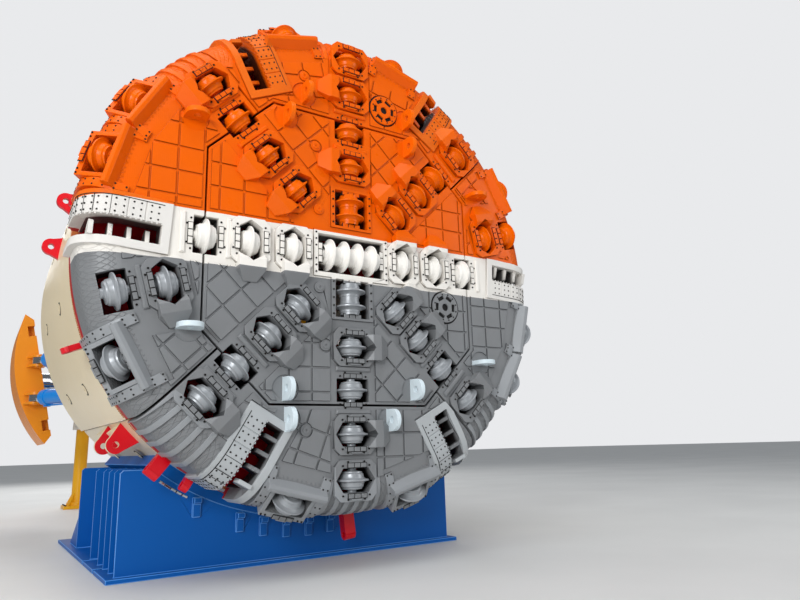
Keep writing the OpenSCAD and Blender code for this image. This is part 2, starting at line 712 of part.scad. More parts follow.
// Electric drives around the bearing: angle
drive_r = 1850;
drive_start = beam_front + seat_gap;
drive_angles = [90, 35, 5, 335, 305, 270, 235, 205, 175, 145];
module drive_motors() color(paint_blue) at_axis() for (a = drive_angles) polar(drive_r, a) {
    // Gear reducer, in steps
    rod_y(220, drive_start, drive_start + 160);
    rod_y(185, drive_start + 150, drive_start + 480);
    rod_y(205, drive_start + 470, drive_start + 700);
    // Motor, with its terminal box and its cooling ribs
    rod_y(170, drive_start + 690, drive_start + 1500);
    rod_y(195, drive_start + 690, drive_start + 760);
    rod_y(195, drive_start + 1420, drive_start + 1500);
    bar(120, 250, drive_start + 900, drive_start + 1240, -100, 100);
    for (t = [30:30:330]) rotate([0, t, 0]) bar(160, 190, drive_start + 800, drive_start + 1380, -8, 8);
}

module beam_tube(y0, y1, holes) difference() {
    slab(y0, y1) beam_section(0);
    // Access holes through both sides
    for (y = holes) translate([-beam_w, y, beam_low + beam_h / 2]) rotate([90, 0, 90])
        linear_extrude(2 * beam_w) {
        for (s = [-1, 1]) translate([s * 200, 0]) circle(r = 260);
        square([400, 520], center = true);
    }
}
module beam_section(grow) difference() {
    translate([-beam_w / 2 - grow, beam_low - grow]) square([beam_w + 2 * grow, beam_h + 2 * grow]);
    translate([-beam_w / 2 + beam_wall, beam_low + beam_wall])
        square([beam_w - 2 * beam_wall, beam_h - 2 * beam_wall]);
}
// Flange on the beam and its gussets, which stand on its side away from the joint
module beam_flange(y0, t, side) {
    y1 = y0 + side * t;
    slab(min(y0, y1), max(y0, y1)) beam_section(100);
    tip = y1 + side * 300;
    mirrored() for (z = [200, beam_h - 200]) translate([0, 0, beam_low + z - 15]) linear_extrude(30)
        polygon([[beam_w / 2 - 1, y1 - side], [beam_w / 2 + 90, y1 - side], [beam_w / 2 - 1, tip]]);
    for (x = [-500, 0, 500]) translate([x + 15, 0, 0]) rotate([90, 0, -90]) linear_extrude(30)
        polygon([[-y1 + side, beam_low + 1], [-y1 + side, beam_low - 90], [-tip, beam_low + 1]]);
}
module main_beam_front() color("#e0e0d8") at_axis() {
    beam_tube(beam_front, beam_joint, [beam_front + 1500, beam_joint - 1400]);
    beam_flange(beam_front, 90, 1);
    beam_flange(beam_joint, 80, -1);
}
module main_beam_rear() color("#e0e0d8") at_axis() {
    beam_tube(beam_joint, beam_rear, [beam_joint + 2300, beam_rear - 1700]);
    beam_flange(beam_joint, 80, 1);
    // Ways that carry the gripper saddle
    mirrored() bar(beam_w / 2 - 10, beam_w / 2 + way_w, gripper_y - 1700, leg_y - 500, way_z, way_z + way_h);
}

module conveyor() color("#404448") at_axis() {
    belt_z = beam_low + 400;
    start = 2000;
    drum_r = 240;
    // Troughed belt, its return run and the side plates
    slab(start, rear_reach - 260) {
        polygon([[-450, belt_z + 120], [-450, belt_z + 90], [-250, belt_z], [250, belt_z],
            [450, belt_z + 90],
            [450, belt_z + 120], [250, belt_z + 30], [-250, belt_z + 30]]);
        for (s = [-1, 1]) translate([s * 485 - 35, belt_z - 100]) square([70, 240]);
    }
    // Carrying frames down to the beam's floor, with the idlers
    last = min(beam_rear - 500, rear_reach - 1200);
    for (y = [beam_front + 1000:(last - beam_front - 1000) / 6:last + 1]) {
        bar(-500, 500, y, y + 120, beam_low + beam_wall, belt_z - 90);
        bar(-470, 470, y + 20, y + 100, belt_z - 95, belt_z + 5);
    }
    for (y = [start + 300:(rear_reach - start - 900) / 24:rear_reach - 500]) {
        rotate([0, 90, 0]) translate([-belt_z + 70, y, -455]) cylinder(r = 75, h = 910);
    }
    // Tail drum and its cheeks
    translate([-450, rear_reach - drum_r, belt_z - drum_r + 30]) rotate([0, 90, 0])
        cylinder(r = drum_r, h = 900);
    for (s = [-1, 1]) translate([s * 485 - 35, 0, 0]) rotate([90, 0, 90]) linear_extrude(70)
        polygon([[rear_reach - 700, belt_z + 140], [rear_reach - 60, belt_z + 120],
            [rear_reach - 60, belt_z - 330],
            [rear_reach - 350, belt_z - 330], [rear_reach - 700, belt_z - 100]]);
}

module pin_z(x, y, z0, z1, r) translate([x, y, z0]) cylinder(r = r, h = z1 - z0);

// Cross frame under the beam with ears for the propel cylinders
module propel_bracket() color("#e0e0d8") at_axis() {
    y0 = barrel_pin_y - 550;
    y1 = barrel_pin_y - eye_r - 60;
    low = gripper_z - cylinder_half_gap - 200;
    half = barrel_pin_x + 200;
    // Cross frame under the beam, tapered towards its foot
    slab(y0, y1) difference() {
        polygon([[-half, beam_low + 350], [-half, low + 150], [-half + 150, low], [half - 150, low],
            [half, low + 150],
            [half, beam_low + 350], [beam_w / 2 + 120, beam_low + 350], [beam_w / 2, beam_low + 230],
            [beam_w / 2, beam_low], [-beam_w / 2, beam_low], [-beam_w / 2, beam_low + 230],
            [-beam_w / 2 - 120, beam_low + 350]]);
        for (s = [-1, 1]) translate([s * 420, (low + beam_low) / 2]) circle(r = 250);
    }
    mirrored() for (s = [-1, 1]) for (e = [-1, 1]) {
        z = gripper_z + s * cylinder_half_gap + e * (eye_t / 2 + 2 + ear_t / 2);
        difference() {
            translate([0, 0, z - ear_t / 2]) linear_extrude(ear_t) union() {
                polygon([[barrel_pin_x - 190, y1 - 5], [barrel_pin_x - 145, barrel_pin_y],
                    [barrel_pin_x + 145, barrel_pin_y], [barrel_pin_x + 190, y1 - 5]]);
                translate([barrel_pin_x, barrel_pin_y]) circle(r = 150);
            }
            pin_z(barrel_pin_x, barrel_pin_y, z - ear_t, z + ear_t, pin_r + seat_gap);
        }
    }
}

rod_pin_y = gripper_y - shoe_length / 2 - rod_pin_reach;
reach_x = rod_pin_x - barrel_pin_x;
reach_y = rod_pin_y - barrel_pin_y;
cyl_len = sqrt(reach_x * reach_x + reach_y * reach_y);
cyl_angle = atan(reach_x / reach_y);
barrel_end = cyl_len - 420;
module cylinder_frame() translate([barrel_pin_x, barrel_pin_y, 0]) rotate([0, 0, -cyl_angle]) children();
module barrels() for (s = [-1, 1]) translate([0, 0, gripper_z + s * cylinder_half_gap]) cylinder_frame() {
    difference() {
        union() {
            pin_z(0, 0, -eye_t / 2, eye_t / 2, eye_r);
            // Neck from the eye out to the barrel's foot
            translate([0, 0, -eye_t / 2]) linear_extrude(eye_t) polygon([[-90, 0], [90, 0], [150, 290],
                [-150, 290]]);
            rod_y(barrel_r + 20, 280, 380);
            rod_y(barrel_r, 280, barrel_end);
            rod_y(barrel_r + 22, barrel_end - 260, barrel_end - 40);
            // Oil port block and its pipe along the barrel
            bar(-60, 60, 420, 560, -barrel_r - 60, 0);
            rod_at(0, -barrel_r - 30, 22, 540, barrel_end - 200);
            bar(-60, 60, barrel_end - 240, barrel_end - 100, -barrel_r - 60, 0);
        }
        rod_y(rod_r + seat_gap, 700, barrel_end + 10);
    }
    pin_z(0, 0, -eye_t / 2 - ear_t - 2, eye_t / 2 + ear_t + 2, pin_r);
}
module propel_barrels_left() color(paint_blue) at_axis() mirror([1, 0, 0]) barrels();
module propel_barrels_right() color(paint_blue) at_axis() barrels();
module rods() for (s = [-1, 1]) translate([0, 0, gripper_z + s * cylinder_half_gap]) cylinder_frame()
    difference() {
        union() {
            rod_y(rod_r, 1200, cyl_len - eye_r - 90);
            rod_y(rod_r + 30, cyl_len - eye_r - 220, cyl_len - eye_r - 110);
            translate([0, 0, -eye_t / 2]) linear_extrude(eye_t) polygon([[-rod_r - 20, cyl_len - 300],
                [rod_r + 20, cyl_len - 300], [eye_r - 10, cyl_len], [-eye_r + 10, cyl_len]]);
            pin_z(0, cyl_len, -eye_t / 2, eye_t / 2, eye_r);
        }
        pin_z(0, cyl_len, -eye_t, eye_t, pin_r);
    }
module propel_rods_left() color("#d8dce0") at_axis() mirror([1, 0, 0]) rods();
module propel_rods_right() color("#d8dce0") at_axis() rods();

module gripper_saddle() color(paint_amber) at_axis() {
    half = 700;
    side = beam_w / 2 + 300;
    low = gripper_z - gripper_barrel_r - 150;
    top = way_z + way_h + 250;
    ends = half + 10;
    difference() {
        union() {
            slab(gripper_y - half, gripper_y + half) polygon([[-side, low + 250], [-side + 250, low],
                [side - 250, low], [side, low + 250], [side, top - 60], [side - 60, top], [-side + 60, top],
                [-side, top - 60]]);
            // Collars around the gripper cylinder
            translate([-side - 130, gripper_y, gripper_z]) rotate([0, 90, 0])
                cylinder(r = gripper_barrel_r + 110, h = 2 * side + 260);
            // Ribs down the sides
            mirrored() for (y = [-half, -half / 3, half / 3 - 50, half - 50])
                slab(gripper_y + y, gripper_y + y + 50)
                polygon([[side - 5, low + 300], [side + 110, low + 420], [side + 110, top - 200],
                    [side - 5, top - 90]]);
        }
        bar(-beam_w / 2 - run_gap, beam_w / 2 + run_gap, gripper_y - ends, gripper_y + ends,
            beam_low - run_gap, top + 10);
        bar(-beam_w / 2 - way_w - run_gap, beam_w / 2 + way_w + run_gap, gripper_y - ends, gripper_y + ends,
            way_z - run_gap, way_z + way_h + seat_gap);
        translate([-3000, gripper_y, gripper_z]) rotate([0, 90, 0])
            cylinder(r = gripper_barrel_r + seat_gap, h = 6000);
    }
}
module gripper_cylinder() color("#303438") at_axis() translate([0, gripper_y, gripper_z]) rotate([0, 90, 0])
    difference() {
        union() {
            cylinder(r = gripper_barrel_r, h = 3400, center = true);
            for (s = [-1, 1]) translate([0, 0, s * 1570])
                cylinder(r = gripper_barrel_r + 60, h = 150, center = true);
        }
        cylinder(r = gripper_rod_r + seat_gap, h = 3420, center = true);
    }

shoe_front = gripper_y - shoe_length / 2;
shoe_inner = shoe_r - 640;
// Gripper shoe drawn on the right side
module shoe() {
    slope = 230;
    shoe_rear = shoe_front + shoe_length;
    polar(0, -shoe_drop) difference() {
        slab(shoe_front, shoe_rear) intersection() {
            circle(r = shoe_r, $fn = 256);
            polygon([[shoe_inner, -shoe_half + slope], [shoe_inner + slope, -shoe_half],
                [shoe_r + 50, -shoe_half],
                [shoe_r + 50, shoe_half], [shoe_inner + slope, shoe_half], [shoe_inner, shoe_half - slope]]);
        }
        // Lifting pockets at the front and the rear
        for (s = [-1, 1]) for (y = [shoe_front - 10, shoe_rear - 300])
            bar(shoe_inner - 10, shoe_inner + 180, y, y + 310, s * 1300 - 140, s * 1300 + 140);
        // Bays between the ribs on the inner side
        for (s = [-1, 1]) for (y = [shoe_front + 340, shoe_rear - 840])
            bar(shoe_inner - 10, shoe_inner + 130, y, y + 500, s * 780 - 300, s * 780 + 300);
        // Grooves across the gripping face
        for (k = [1:4]) translate([0, shoe_front + k * shoe_length / 5, 0]) revolve_y()
            translate([shoe_r - 30, -25]) square([60, 50]);
    }
    // Ears for the propel rods, with the pins' heads outside them
    for (s = [-1, 1]) for (e = [-1, 1]) {
        z = gripper_z + s * cylinder_half_gap + e * (eye_t / 2 + run_gap + ear_t / 2);
        cap = z + e * (ear_t / 2 + 12);
        difference() {
            translate([0, 0, z - ear_t / 2]) linear_extrude(ear_t) union() {
                polygon([[rod_pin_x - 160, rod_pin_y], [rod_pin_x + 160, rod_pin_y],
                    [rod_pin_x + 260, shoe_front + 5],
                    [rod_pin_x - 160, shoe_front + 5]]);
                translate([rod_pin_x, rod_pin_y]) circle(r = 160);
            }
            pin_z(rod_pin_x, rod_pin_y, z - ear_t, z + ear_t, pin_r);
        }
        pin_z(rod_pin_x, rod_pin_y, cap - 14, cap + 14, pin_r + 25);
    }
}
module gripper_shoe_left() color(paint_amber) at_axis() mirror([1, 0, 0]) shoe();
module gripper_shoe_right() color(paint_amber) at_axis() shoe();
module gripper_rod() difference() {
    translate([900, gripper_y, gripper_z]) rotate([0, 90, 0]) {
        cylinder(r = gripper_rod_r, h = 1900);
        translate([0, 0, 1890]) cylinder(r = 330, h = 500);
    }
    polar(0, -shoe_drop) bar(shoe_inner - seat_gap, shoe_r, shoe_front, shoe_front + shoe_length,
        -shoe_half, shoe_half);
}
module gripper_rod_left() color("#303438") at_axis() mirror([1, 0, 0]) gripper_rod();
module gripper_rod_right() color("#303438") at_axis() gripper_rod();

module rear_support() color("#e0e0d8") at_axis() {
    y0 = leg_y - 300;
    y1 = leg_y + 300;
    reach = leg_x + 330;
    difference() {
        union() {
            // Cross beam, arched between the legs
            slab(y0, y1) difference() {
                polygon([[-reach, beam_low - 100], [-reach + 100, beam_low], [reach - 100, beam_low],
                    [reach, beam_low - 100], [reach, beam_low - 600], [-reach, beam_low - 600]]);
                translate([0, beam_low - 900]) circle(r = 620);
            }
            for (side = [-1, 1]) {
                pin_z(side * leg_x, leg_y, sleeve_low, sleeve_top, leg_r + 70);
                pin_z(side * leg_x, leg_y, sleeve_low, sleeve_low + 90, leg_r + 120);
                for (a = [0:90:270]) translate([side * leg_x, leg_y, 0]) rotate([90, 0, a])
                    translate([0, 0, -20])
                    linear_extrude(40) polygon([[leg_r + 60, sleeve_low + 80],
                        [leg_r + 115, sleeve_low + 80],
                        [leg_r + 115, sleeve_low + 200], [leg_r + 60, beam_low - 700]]);
            }
        }
        for (side = [-1, 1]) pin_z(side * leg_x, leg_y, sleeve_low - 10, sleeve_top + 10, leg_r + seat_gap);
    }
}
module leg() {
    pin_z(leg_x, leg_y, -axis_z + 190, sleeve_top - 300, leg_r);
    bar(leg_x - 450, leg_x + 450, leg_y - 400, leg_y + 400, -axis_z, -axis_z + 100);
    pin_z(leg_x, leg_y, -axis_z + 90, -axis_z + 200, 320);
    // Gussets on the foot
    for (a = [45:90:315]) translate([leg_x, leg_y, -axis_z]) rotate([90, 0, a]) translate([0, 0, -20])
        linear_extrude(40) polygon([[leg_r - 10, 95], [420, 95], [420, 130], [leg_r - 10, 520]]);
}
module rear_leg_left() color(paint_yellow) at_axis() mirror([1, 0, 0]) leg();
module rear_leg_right() color(paint_yellow) at_axis() leg();

module erector_carrier() color(paint_yellow) at_axis() {
    slab(erector_y - 300, erector_y - 200) difference() {
        circle(r = erector_r - seat_gap, $fn = 256);
        translate([-beam_w / 2 - seat_gap, beam_low - seat_gap]) square([beam_w + 2 * seat_gap,
            beam_h + 2 * seat_gap]);
        // Lightening holes
        for (a = [150:30:390]) rotate(a) translate([1500, 0]) circle(r = 170);
    }
    revolve_y() polygon([[erector_r - 120, erector_y - 201], [erector_r - seat_gap, erector_y - 201],
        [erector_r - seat_gap, erector_y + 249], [erector_r - 70, erector_y + 249],
        [erector_r - 120, erector_y + 150]]);
    // Collar that clamps the carrier on the beam
    slab(erector_y - 420, erector_y - 299) difference() {
        translate([-beam_w / 2 - 130, beam_low - 130]) square([beam_w + 260, beam_h + 260]);
        translate([-beam_w / 2 - seat_gap, beam_low - seat_gap])
            square([beam_w + 2 * seat_gap, beam_h + 2 * seat_gap]);
    }
}
module erector_ring() color(paint_yellow) at_axis() {
    // Ring of channel section
    revolve_y() polygon([[erector_r, erector_y - 100], [erector_r + 260, erector_y - 100],
        [erector_r + 260, erector_y - 50], [erector_r + 90, erector_y - 50],
        [erector_r + 90, erector_y + 90],
        [erector_r + 260, erector_y + 90], [erector_r + 260, erector_y + 140],
        [erector_r, erector_y + 140]]);
    // Arms that lift the ring beams, with curved pads
    for (a = [60, 120]) polar(0, a) {
        slab(erector_y - 60, erector_y + 100) polygon([[erector_r + 85, -170], [2860, -80], [2860, 80],
            [erector_r + 85, 170]]);
        translate([erector_r + 240, erector_y + 20, 0]) rotate([0, 90, 0]) cylinder(r = 110, h = 450);
        shell(-5, 5, erector_y - 260, erector_y + 300, 2950, 100);
    }
}

module drill_carriage() color(paint_yellow) at_axis() {
    deck = beam_low + beam_h;
    // Slide on the beam's top, with raised edges
    slab(drill_y - 200, drill_y + 200) polygon([[-beam_w / 2, deck], [beam_w / 2, deck],
        [beam_w / 2 + 20, deck + 20],
        [drill_x + 150, deck + 60], [drill_x + 150, deck + 180], [beam_w / 2 - 250, deck + 180],
        [beam_w / 2 - 350, deck + 110], [-beam_w / 2 + 350, deck + 110], [-beam_w / 2 + 250, deck + 180],
        [-drill_x - 150, deck + 180], [-drill_x - 150, deck + 60], [-beam_w / 2 - 20, deck + 20]]);
    mirrored() {
        slab(drill_y + 120, drill_y + 200) union() {
            polygon([[drill_x - 145, deck + 170], [drill_x + 145, deck + 170], [drill_x + 118, drill_z],
                [drill_x - 118, drill_z]]);
            translate([drill_x, drill_z]) circle(r = 120);
        }
        rod_at(drill_x, drill_z, 60, drill_y - 80, drill_y + 130);
    }
}
module rod_at(x, z, r, y0, y1) translate([x, 0, z]) rod_y(r, y0, y1);
module drill() {
    feed = drill_z + 890;
    difference() {
        union() {
            rod_at(drill_x, drill_z, 130, drill_y - 80, drill_y + 110);
            slab(drill_y - 80, drill_y + 110) polygon([[drill_x - 115, drill_z], [drill_x + 115, drill_z],
                [drill_x + 80, feed + 10], [drill_x - 80, feed + 10]]);
        }
        rod_at(drill_x, drill_z, 60 + seat_gap, drill_y - 90, drill_y + 120);
    }
    // Feed rail of channel section
    slab(drill_y - 1500, drill_y + 1700) polygon([[drill_x - 110, feed], [drill_x + 110, feed],
        [drill_x + 110, feed + 170],
        [drill_x + 70, feed + 170], [drill_x + 70, feed + 60], [drill_x - 70, feed + 60],
        [drill_x - 70, feed + 170],
        [drill_x - 110, feed + 170]]);
    // Rock drill, its rod and the two guides
    slab(drill_y + 500, drill_y + 1300) polygon([[drill_x - 150, feed + 160], [drill_x + 150, feed + 160],
        [drill_x + 150, feed + 330], [drill_x + 90, feed + 400], [drill_x - 90, feed + 400],
        [drill_x - 150, feed + 330]]);
    rod_at(drill_x, feed + 270, 30, drill_y - 1500, drill_y + 510);
    for (y = [-1480, -500]) slab(drill_y + y, drill_y + y + 90) union() {
        translate([drill_x - 100, feed + 100]) square([200, 170]);
        translate([drill_x, feed + 270]) circle(r = 100);
    }
}
module drill_left() color("#e04018") at_axis() mirror([1, 0, 0]) drill();
module drill_right() color("#e04018") at_axis() drill();

module tow_bracket() color(paint_yellow) at_axis() {
    back = beam_rear + 95;
    bar(-beam_w / 2 - 100, beam_w / 2 + 100, beam_rear, beam_rear + 100, beam_low - 50, beam_low + 250);
    mirrored() difference() {
        for (e = [-1, 1]) translate([0, 0, beam_low + 100 + e * 100 - 30]) linear_extrude(60) union() {
            polygon([[560, back], [940, back], [880, beam_rear + 270], [620, beam_rear + 270]]);
            translate([750, beam_rear + 270]) circle(r = 130);
        }
        pin_z(750, beam_rear + 270, beam_low - 100, beam_low + 300, tow_r);
    }
}

module cradle() color(paint_blue) at_floor() {
    // Webs across the machine
    for (y = cradle_webs) slab(y, y + cradle_web) difference() {
        polygon([[-cradle_half, 50], [cradle_half, 50], [cradle_half, cradle_corner - 40],
            [cradle_half - 40, cradle_corner], [-cradle_half + 40, cradle_corner],
            [-cradle_half, cradle_corner - 40]]);
        translate([0, axis_z]) circle(r = cradle_r, $fn = 256);
        // Openings behind the front web
        if (y > cradle_front) for (x = [-1500, 0, 1500]) translate([x, 380 + abs(x) / 12])
            circle(r = 140 + abs(x) / 15);
    }
    // Base plates under them
    for (b = cradle_bases) bar(-cradle_half - 120, cradle_half + 120, b[0], b[1], 0, 60);
    // Closing plates between the webs, set in from their edges
    mirrored() for (k = [0:len(cradle_webs) - 2])
        bar(cradle_half - 330, cradle_half - 300, cradle_webs[k] + cradle_web - 1,
        cradle_webs[k + 1] + 1, 50, cradle_corner - 60);
    // Gussets on the long base plate
    mirrored() for (x = [700, cradle_half - 50]) translate([x, 0, 0]) rotate([90, 0, 90]) linear_extrude(40)
        polygon([[cradle_webs[5] + cradle_web - 1, 55], [cradle_webs[5] + 900, 55],
            [cradle_webs[5] + 900, 90],
            [cradle_webs[5] + cradle_web - 1, 620]]);
    // Blocks that hang on the front web, under the shield's edge
    for (x = block_x) translate([x - 55, 0, axis_z - sqrt(cradle_r * cradle_r - x * x) - 40])
        rotate([90, 0, 90])
        linear_extrude(110) polygon([[cradle_front + 1, 0], [cradle_front - 95, 0], [cradle_front - 95, -70],
            [cradle_front - 40, -90], [cradle_front - 40, -270], [cradle_front + 1, -270]]);
    translate([0, 0, axis_z]) shell(270 - saddle_half, 270 + saddle_half, cradle_front + 20,
        shield_rear - 100,
        cradle_r + 1, cradle_r + 1 - bottom_r - seat_gap);
}

cradle();
cutterhead_center();
cutterhead_top();
cutterhead_left();
cutterhead_bottom();
cutterhead_right();
cutterhead_rotor();
face_cutters();
center_cutters();
gauge_cutters();
shield_roof();
shield_side_left();
shield_side_right();
shield_bottom();
finger_shield();
cutterhead_support();
shield_jacks();
drive_motors();
main_beam_front();
main_beam_rear();
conveyor();
propel_bracket();
gripper_saddle();
gripper_cylinder();
gripper_shoe_left();
gripper_shoe_right();
gripper_rod_left();
gripper_rod_right();
propel_barrels_left();
propel_barrels_right();
propel_rods_left();
propel_rods_right();
rear_support();
rear_leg_left();
rear_leg_right();
erector_carrier();
erector_ring();
drill_carriage();
drill_left();
drill_right();
tow_bracket();
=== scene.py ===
"""Open tunnel boring machine on its factory cradle: looks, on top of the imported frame."""

import json
import math

import bmesh
import bpy
from mathutils import Matrix, Vector


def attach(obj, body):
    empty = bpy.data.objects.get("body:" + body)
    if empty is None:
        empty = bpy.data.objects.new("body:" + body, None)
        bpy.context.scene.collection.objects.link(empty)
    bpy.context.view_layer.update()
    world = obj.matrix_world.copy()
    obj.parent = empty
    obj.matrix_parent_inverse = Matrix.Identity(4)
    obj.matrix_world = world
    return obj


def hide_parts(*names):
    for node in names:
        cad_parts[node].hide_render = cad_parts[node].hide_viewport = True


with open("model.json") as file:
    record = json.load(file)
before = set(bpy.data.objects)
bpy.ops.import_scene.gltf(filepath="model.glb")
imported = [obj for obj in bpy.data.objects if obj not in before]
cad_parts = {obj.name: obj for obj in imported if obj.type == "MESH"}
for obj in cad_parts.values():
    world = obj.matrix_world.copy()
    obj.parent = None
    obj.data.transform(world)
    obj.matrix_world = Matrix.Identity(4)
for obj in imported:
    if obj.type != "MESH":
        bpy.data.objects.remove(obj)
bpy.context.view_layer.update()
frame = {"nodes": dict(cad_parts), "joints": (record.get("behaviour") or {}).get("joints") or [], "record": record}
nodes = frame["nodes"]
joints = {joint["name"]: joint for joint in frame["joints"]}

# Centre of the cutterhead's face, which every size of the head is measured from
FACE = Vector(joints["cutterhead_spin"]["pos_m"])

# Camera: place from the face's centre, turns and lens
CAMERA_PLACE = Vector((-4.533, -8.151, -2.817))
CAMERA_YAW = math.radians(33.475)
CAMERA_PITCH = math.radians(12.918)
CAMERA_ROLL = math.radians(1.755)
CAMERA_LENS = 28.96

# Spokes of disc cutters: angle in degrees, radii of the cutters in metres, as in the CAD model
SPOKES = [
    (90, (1.44, 2.05, 2.68, 3.28)),
    (270, (1.376, 1.995, 2.614, 3.24)),
    (0, (0.912, 1.529, 2.133)),
    (180, (0.945, 1.586, 2.19)),
    (45, (1.14, 1.77, 2.31, 3.0)),
    (135, (1.27, 1.9, 2.53, 3.11)),
    (225, (1.19, 1.8, 2.44, 3.03)),
    (315, (1.08, 1.67, 2.29, 2.96)),
    (15, (2.74, 3.34)),
    (195, (2.75, 3.36)),
]
# Spoke and radius of the cutters that lie in square pockets
SQUARE_POCKETS = {(90, 2.05), (270, 1.995), (0, 2.133), (180, 2.19), (45, 2.31), (135, 2.53), (225, 2.44),
                  (315, 2.29), (15, 3.34), (195, 3.36)}
# Cutters of the gauge corner: angles, radius and depth of their middle, tilt
GAUGE_ANGLES = (28.6, 75.4, 107, 150.5, 165.5, 208.6, 255.4, 287, 330.5, 345.5)
GAUGE_RADIUS = 3.585
GAUGE_DEPTH = 0.19
GAUGE_TILT = math.radians(42)
AXLE_DEPTH = 0.07
# Rings of the level row in the middle, half a ring's length, and heights of the upright pairs
CENTER_RINGS = (-0.3525, -0.1175, 0.1175, 0.3525)
RING_HALF = 0.1175
TWIN_HEIGHTS = (0.745, -0.655)
BUCKET_ANGLES = (56.5, 116, 176.4, 239, 297.6, 356.4)
# White band's top and bottom, from the face's centre
BAND_TOP = 0.335
BAND_LOW = -0.385
HEAD_NODES = ("cutterhead_center", "cutterhead_top", "cutterhead_left", "cutterhead_bottom",
              "cutterhead_right")
# Curved corner between the face and the rim, in metres
CORNER_START = 3.25
CORNER_REACH = 0.45
CORNER_DROP = 0.42
CORNER_LENGTH = 0.684
# How the skin drops back past the corner's start: depth over the square of the radius past it
CORNER_CURVE = 2.07
# Outside of the pockets and buckets, and where the red of the back plate begins on the rim
INSIDE_RADIUS = 3.6
RED_RIM_RADIUS = 3.61
RED_RIM_DEPTH = 0.81
RIM_RADIUS = 3.7
# Lattice of weld beads on the corner: radius that it is laid out at, beads' spacing, where it begins
LATTICE_RADIUS = 3.6
LATTICE_STEP = 0.075
LATTICE_START = 3.3
# Plates along a bucket: radius where they begin, and their reach on both sides of its middle
STRIP_START = 2.63
STRIP_LOW = -0.2
STRIP_HIGH = 0.52
# Least height over the bare skin of those plates and of the rim's bars, and depth of the grooves
PLATE_RISE = 0.02
BAR_RISE = 0.012
GROOVE_DEPTH = 0.021
# Lugs on the face, then its hatches and water nozzles: x and z from its centre
FACE_LUGS = [(-1.075, 2.03), (1.05, 2.01), (-1.05, -2.0), (1.03, -1.97), (-0.79, 2.47), (1.03, 2.5),
             (-2.4, 1.65), (-2.37, -1.25), (-1.02, -2.4), (0.59, -2.42), (2.4, -1.5), (2.45, 1.42)]
# A lug's half thickness and half width with some room, and the least height of its faces
LUG_THICK = 0.038
LUG_WIDE = 0.165
LUG_RISE = 0.008
# How far aside the lugs lie level
LEVEL_LUGS = 2.2
HATCHES = [(0.63, 2.59), (1.71, -0.62)]
NOZZLES = [(-0.79, 2.78), (-0.75, -2.55), (-0.6, 1.66), (-0.55, 0.66), (-0.54, -0.53), (-0.45, -1.37)]
# Shield: outside radius, depth of its front edge, and each shell's node with the angles of its ends
SHIELD_RADIUS = 3.66
SHIELD_FRONT = 1.2
SHELLS = [("shield_roof", 40, 140), ("shield_side_left", 140, 220), ("shield_bottom", 220, 320),
          ("shield_side_right", 320, 400)]
# Parts of the machine that get eased edges, beside the head's own
EASED_NODES = ("cutterhead_rotor", "shield_roof", "shield_side_left", "shield_side_right", "shield_bottom",
               "cradle", "gripper_shoe_left", "gripper_shoe_right", "propel_barrels_left",
               "propel_barrels_right", "propel_rods_left", "propel_rods_right")
# Width of an eased edge on most parts, and on those with small corners
EASE = 0.008
SMALL_EASE = 0.003
# Least angle of a sharp edge, largest angle within a flat face, largest gap within a point
SHARP_ANGLE = math.radians(30)
FLAT_ANGLE = math.radians(0.6)
SAME_POINT = 0.0001
# A quarter turn
QUARTER = math.radians(90)


# Modelling by hand: start a primitive, pick its faces or edges, shape it, close it


def start(kind, name, **sizes):
    """Adds a primitive alone, open in edit mode with nothing selected."""
    bpy.ops.object.select_all(action="DESELECT")
    getattr(bpy.ops.mesh, f"primitive_{kind}_add")(**sizes)
    made = bpy.context.object
    made.name = made.data.name = name
    bpy.ops.object.mode_set(mode="EDIT")
    bpy.ops.mesh.select_mode(type="FACE")
    bpy.ops.mesh.select_all(action="DESELECT")
    return made


def pick(made, test):
    """Selects the faces whose centre and normal pass the test."""
    bpy.ops.mesh.select_mode(type="FACE")
    bpy.ops.mesh.select_all(action="DESELECT")
    mesh = bmesh.from_edit_mesh(made.data)
    for face in mesh.faces:
        face.select_set(bool(test(face.calc_center_median(), face.normal)))
    mesh.select_flush(True)
    bmesh.update_edit_mesh(made.data)


def top(centre, normal):
    """True on the faces that look up."""
    return normal.z > 0.9


def close(made, smooth=35):
    """Leaves edit mode, puts the piece's place in its mesh and shades it."""
    bpy.ops.object.mode_set(mode="OBJECT")
    bpy.ops.object.transform_apply(location=True, rotation=True, scale=True)
    bpy.ops.object.shade_smooth_by_angle(angle=math.radians(smooth))
    return made


def lathe(name, outline, steps=48, smooth=30):
    """Turns an outline of (along, radius) points about the X axis."""
    made = start("plane", name, size=0.001)
    bpy.ops.mesh.select_all(action="SELECT")
    bpy.ops.mesh.merge(type="CENTER")
    bpy.ops.mesh.select_mode(type="VERT")
    bpy.ops.mesh.select_all(action="SELECT")
    place = Vector((0, 0, 0))
    first = Vector((outline[0][0], 0, outline[0][1]))
    bpy.ops.transform.translate(value=first - place)
    place = first
    for along, radius in outline[1:]:
        point = Vector((along, 0, radius))
        bpy.ops.mesh.extrude_region_move(TRANSFORM_OT_translate={"value": point - place})
        place = point
    bpy.ops.mesh.select_all(action="SELECT")
    bpy.ops.mesh.spin(steps=steps, angle=math.tau, center=(0, 0, 0), axis=(1, 0, 0))
    bpy.ops.mesh.select_all(action="SELECT")
    bpy.ops.mesh.remove_doubles(threshold=0.0002)
    bpy.ops.mesh.normals_make_consistent(inside=False)
    return close(made, smooth)


def modify(made, kind, **settings):
    """Adds a modifier and applies it."""
    bpy.ops.object.select_all(action="DESELECT")
    made.select_set(True)
    bpy.context.view_layer.objects.active = made
    modifier = made.modifiers.new(kind.lower(), kind)
    for name, value in settings.items():
        setattr(modifier, name, value)
    bpy.ops.object.modifier_apply(modifier=modifier.name)
    return made


